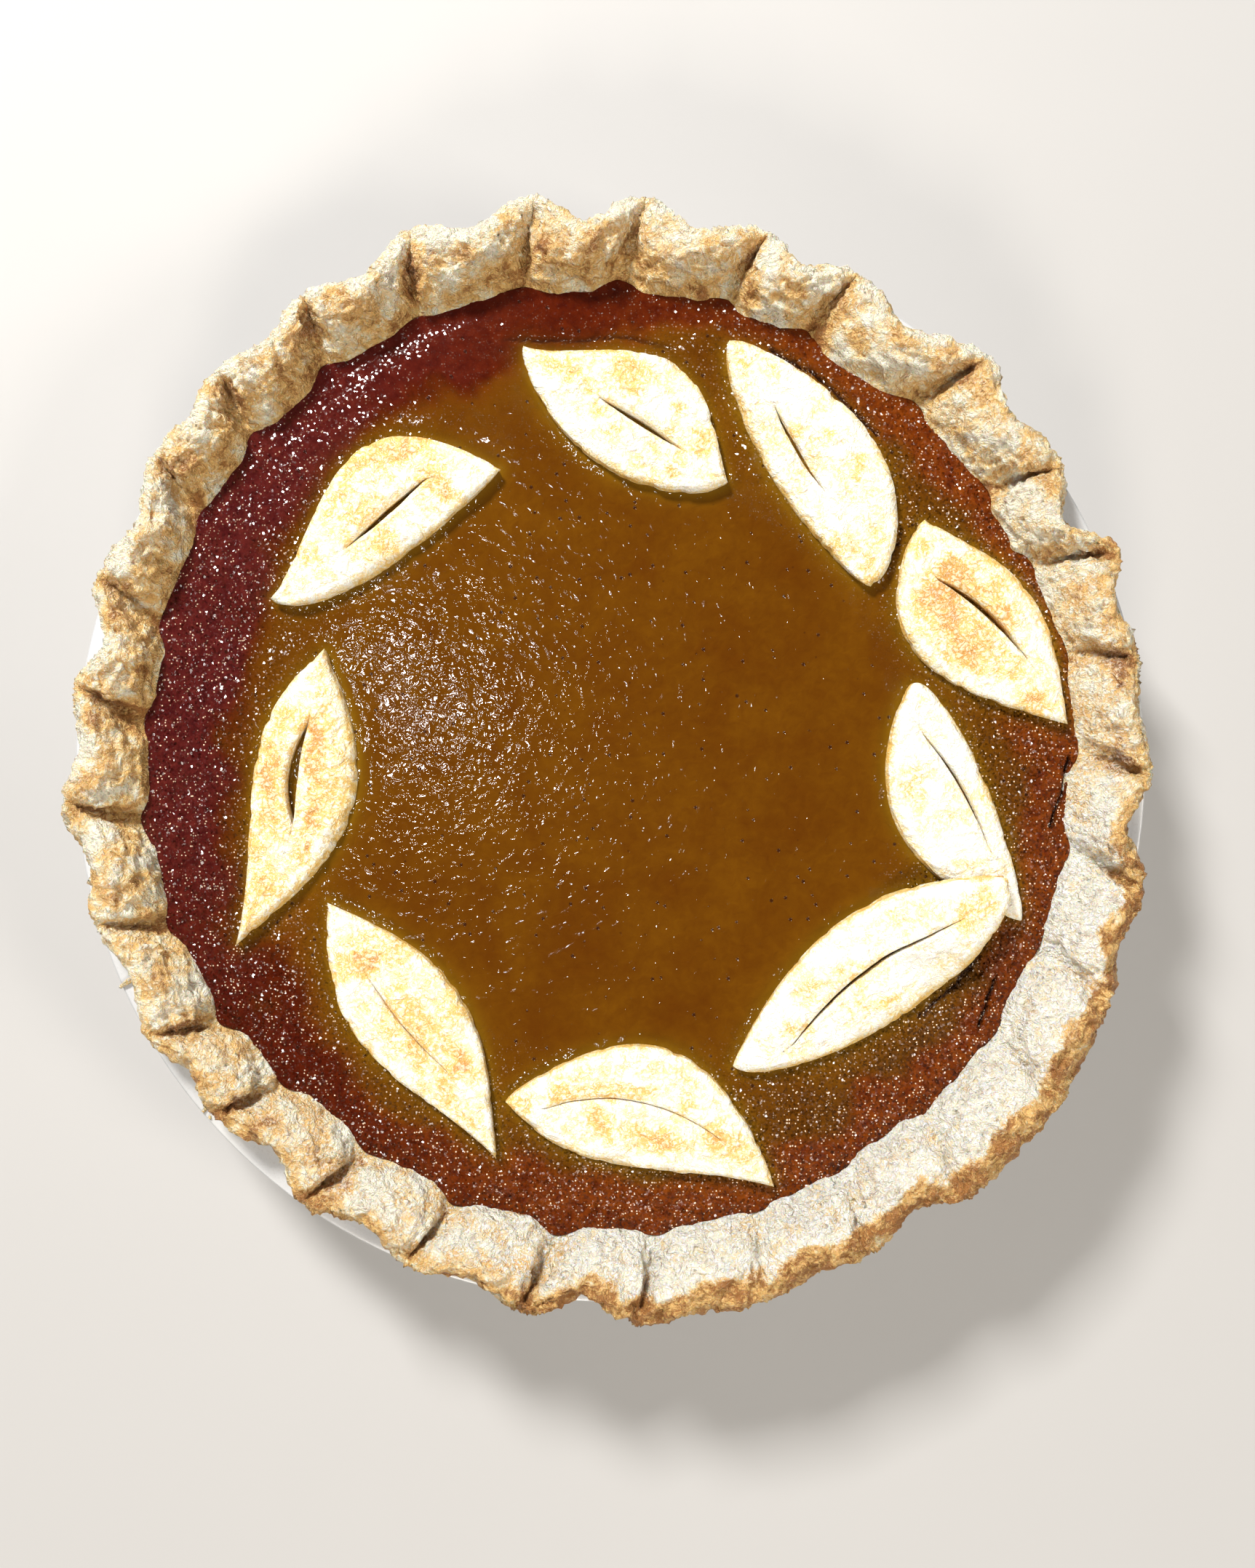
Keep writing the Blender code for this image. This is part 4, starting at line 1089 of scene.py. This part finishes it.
LEAF_LIFT = 3.7 * MM
LEAF_ROWS = (3, 4, 5, 3, 28, 5, 3)


def leaf_lift(index, share):
    """How far the fifth leaf is raised along its length."""
    return LEAF_LIFT * ramp(share, 0.62, 0.86) * (index == LEAF_OVER)


def leaf_grid(index, spec):
    """Rows from the slit's lower edge out under the leaf, up its side and back over its top."""
    share, side = leaf_shares(LEAF_SIDE)
    through = spec[8]
    seed = 200 + 10 * index
    outer = leaf_edge(spec, share, side, 0.0)
    ragged = dough(np.concatenate([outer, outer[:, :1] * 0], -1), 4.5 * MM, 4, seed) * 0.75 * MM
    width = spec[7] * MM
    cut = np.where(side > 0, spec[10][0], spec[10][1]) * np.sin(np.pi * share) ** 0.5 * MM
    cut = cut * (1.0 + 0.5 * dough(np.concatenate([outer, outer[:, :1] * 0], -1), 7.0 * MM, 2, seed + 8))

    def edge(inset):
        return leaf_edge(spec, share, side, inset + ragged.clip(0.0))

    slit = slit_edge(spec, share, side, width if through else 0.0)
    rim_in = edge(cut + 0.9 * MM)
    lines = [
        (slit, 0.0), (edge(0.9 * MM), 0.0), (edge(0.05 * MM), 0.25), (edge(0.35 * cut), 0.60),
        (rim_in, 0.90), (mix(rim_in, slit, 0.88), 0.97), (slit, 0.72 if through else 0.62),
    ]
    lift = leaf_lift(index, share) + LEAF_SUNK * leaf_lift(index, share) / LEAF_LIFT
    rows = []
    for points, height in lines:
        level = filling_level(points) - LEAF_SUNK + lift + height * (LEAF_THICKNESS + LEAF_SUNK)
        rows.append(np.concatenate([points, level[:, None]], -1))
    steps = LEAF_ROWS[:len(rows) - 1]
    grid = along(np.stack(rows), steps)
    return grid, share, side, seed


def browned(points):
    """The strongest of the browned places at each point, its edge made ragged by noise."""
    stirred = points[..., :2] + 2.2 * MM * np.stack([dough(points, 5.0 * MM, 3, 301), dough(points, 5.0 * MM, 3, 303)], -1)
    strongest = np.zeros(points.shape[:-1])
    for start, end, half_width, strength in BROWNED:
        away = to_line(stirred, (start, end)) / (half_width * MM)
        strongest = np.maximum(strongest, strength * (1.0 - ramp(away, 0.35, 1.5)))
    return strongest


def leaf_surface(index, spec):
    """The grid with its lumps, and masks for browning, flour, and painted shade in its low places and cracks."""
    grid, share, side, seed = leaf_grid(index, spec)
    first_top = sum(LEAF_ROWS[:3])
    across = np.clip((np.arange(len(grid)) - first_top) / (len(grid) - 1.0 - first_top), 0.0, 1.0)[:, None]
    on_top = ramp(across, 0.0, 0.12)
    crown = 0.35 * np.sin(np.pi * np.clip(across, 0.0, 1.0)) ** 0.8
    lips = 0.30 * hump(across, 0.83, 0.07) * np.sin(np.pi * share) ** 0.5
    lump = dough(grid, 9.0 * MM, 3, seed + 1) * 0.60 + (flakes(grid, 3.2 * MM, 2, seed + 2) - 0.5) * 0.26
    crack = -0.35 * (1.0 - ramp(np.abs(dough(grid, 9.0 * MM, 3, seed + 3)), 0.0, 0.05))
    crack = crack * ramp(lumps(grid, 12.0 * MM, seed + 4), 0.1, 0.5)
    rise = (crown + lips + lump + crack) * on_top * (1.0 - ramp(across, 0.93, 1.0))
    grid[..., 2] += rise * MM
    patch = dough(grid, 11.0 * MM, 4, seed + 5)
    toasted_and_shaded = (-0.10 + 0.50 * spec[9] + 0.35 * patch - 0.20 * (1.0 - ramp(across, 0.05, 0.30))) * on_top
    toasted_and_shaded = toasted_and_shaded + browned(grid) * 0.75 + 0.35 * (1.0 - on_top)
    # Painted shade: the low places and cracks of the top are darkened.
    deep = np.clip(-(lump + crack) * 0.7 - 0.15, 0.0, 1.0) * on_top
    return grid, {"toasted_and_shaded": np.clip(toasted_and_shaded, -0.4, 1.2), "flour_and_highlight": 0.35 * on_top, "deep": 0.5 * deep}


LEAF_COLOURS = ((0.86, 0.82, 0.71), (0.84, 0.70, 0.42), (0.77, 0.49, 0.13), (0.60, 0.28, 0.05))
leaf_pastry = make_pastry("leaf_pastry", LEAF_COLOURS, 0.00040, 0.52, 0.0)
for index, spec in enumerate(LEAVES):
    grid, masks = leaf_surface(index, spec)
    leaf = skin("pastry_leaf_%d" % (index + 1), grid, ends="ring" if spec[8] else "lines", paint=masks)
    leaf.data.materials.append(leaf_pastry)
    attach(leaf, "root")
    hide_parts("leaf_%d" % (index + 1))

# %% [markdown]
# ## Loose crumbs
# A strand and a few flakes of pastry have come off the rim and lie on the flange. Each is
# a ball squashed to its own length, width and height, with a lumpy skin.

# %% Drop the crumbs on the flange
# For each crumb: angle and radius in millimetres, its length, width and height, and how
# far it is turned from pointing outwards, in degrees.
CRUMBS = (
    (204.0, 125.2, 4.6, 1.3, 1.0, 12.0),
    (203.6, 123.0, 2.0, 1.5, 0.9, 60.0),
    (220.2, 125.9, 1.3, 1.0, 0.7, 30.0),
    (221.2, 126.1, 1.0, 0.7, 0.6, 80.0),
)


def crumb_grid(degrees, radius, length, width, height, turn, seed):
    """Rings of a squashed ball, from its bottom to its top, set down on the flange."""
    rise = np.linspace(-1.0, 1.0, 14)[1:-1, None] * np.pi / 2.0
    around = np.arange(24)[None, :] * np.pi / 12.0
    ball = np.stack(np.broadcast_arrays(np.cos(rise) * np.cos(around), np.cos(rise) * np.sin(around), np.sin(rise)), -1)
    ball = ball * (1.0 + 0.35 * dough(ball, 0.9, 3, seed))[..., None] * np.array([length, width, height]) / 2.0 * MM
    heading = math.radians(degrees + turn)
    c, s = math.cos(heading), math.sin(heading)
    turned_ball = ball @ np.array([[c, s, 0.0], [-s, c, 0.0], [0.0, 0.0, 1.0]])
    return turned_ball + polar(radius * MM, degrees, TIN_TOP + 0.45 * height * MM)


for index, spec in enumerate(CRUMBS):
    crumb = skin("loose_crumb_%d" % (index + 1), crumb_grid(*spec, 400 + index), paint={"toasted_and_shaded": 0.25, "flour_and_highlight": 0.4})
    crumb.data.materials.append(pinched_crust.data.materials[0])
    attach(crumb, "root")

# %% [markdown]
# ## Floor, light and camera
# The pie is seen from straight above, a little off its middle. A broad soft light stands
# high at the back left and shades the rim's lobes, a smaller one nearly overhead makes the
# wet shine on the filling, and a pale floor and sky fill the shadows.

# %% Set the stage
FLOOR_SIZE = 3.0


def make_floor():
    finish, tree, surface = shader("pale_floor")
    cloud = use(tree, BLOTCHES, Scale=3.0, Softness=0.4, Level=0.5)
    tree.links.new(blend(tree, cloud, (0.44, 0.43, 0.42), (0.47, 0.46, 0.45)), surface.inputs["Base Color"])
    surface.inputs["Roughness"].default_value = 0.7
    mesh = bpy.data.meshes.new("floor")
    half = FLOOR_SIZE / 2.0
    level = -0.1 * MM
    mesh.from_pydata([(-half, -half, level), (half, -half, level), (half, half, level), (-half, half, level)], [],
                     [(0, 1, 2, 3)])
    floor = bpy.data.objects.new("floor", mesh)
    bpy.context.collection.objects.link(floor)
    mesh.materials.append(finish)


def area_light(name, towards, distance, size, watts, colour=(1.0, 1.0, 1.0)):
    """A square lamp at a distance in a direction from the pie, facing the pie."""
    lamp = bpy.data.lights.new(name, "AREA")
    lamp.shape = "SQUARE"
    lamp.size = size
    lamp.energy = watts
    lamp.color = colour
    piece = bpy.data.objects.new(name, lamp)
    bpy.context.collection.objects.link(piece)
    direction = np.array(towards) / np.linalg.norm(towards)
    piece.location = direction * distance + np.array([0.0, 0.0, TIN_TOP])
    from mathutils import Vector
    piece.rotation_euler = Vector(-direction).to_track_quat("-Z", "Y").to_euler()
    return piece


make_floor()
area_light("window", (-0.37, 0.66, 0.654), 1.3, 0.24, 28.5, (1.0, 0.985, 0.96))
area_light("overhead", (-0.165, 0.058, 0.985), 1.2, 0.05, 1.2, (1.0, 0.99, 0.97))
area_light("side_fill", (0.70, -0.25, 0.62), 1.5, 0.35, 9.5, (1.0, 0.95, 0.87))
area_light("front_fill", (-0.10, -0.74, 0.62), 1.5, 0.35, 11.5, (1.0, 0.93, 0.83))
world = bpy.data.worlds.new("sky")
world.use_nodes = True
world.node_tree.nodes["Background"].inputs["Color"].default_value = (0.95, 0.97, 1.0, 1.0)
world.node_tree.nodes["Background"].inputs["Strength"].default_value = 0.10
bpy.context.scene.world = world
bpy.context.scene.view_settings.view_transform = "Standard"

# %% Place the camera
CAMERA_HEIGHT = 325.0 * MM      # over the flange
FRAME_HEIGHT = 372.0 * MM       # that the picture takes in at the flange
camera_data = bpy.data.cameras.new("camera")
camera_data.sensor_width = 36.0
camera_data.lens = camera_data.sensor_width * CAMERA_HEIGHT / FRAME_HEIGHT
camera_data.clip_start = 0.01
camera = bpy.data.objects.new("camera", camera_data)
bpy.context.collection.objects.link(camera)
camera.location = (4.1 * MM, -4.0 * MM, TIN_TOP + CAMERA_HEIGHT)
bpy.context.scene.camera = camera
print("camera lens", round(camera_data.lens, 2))
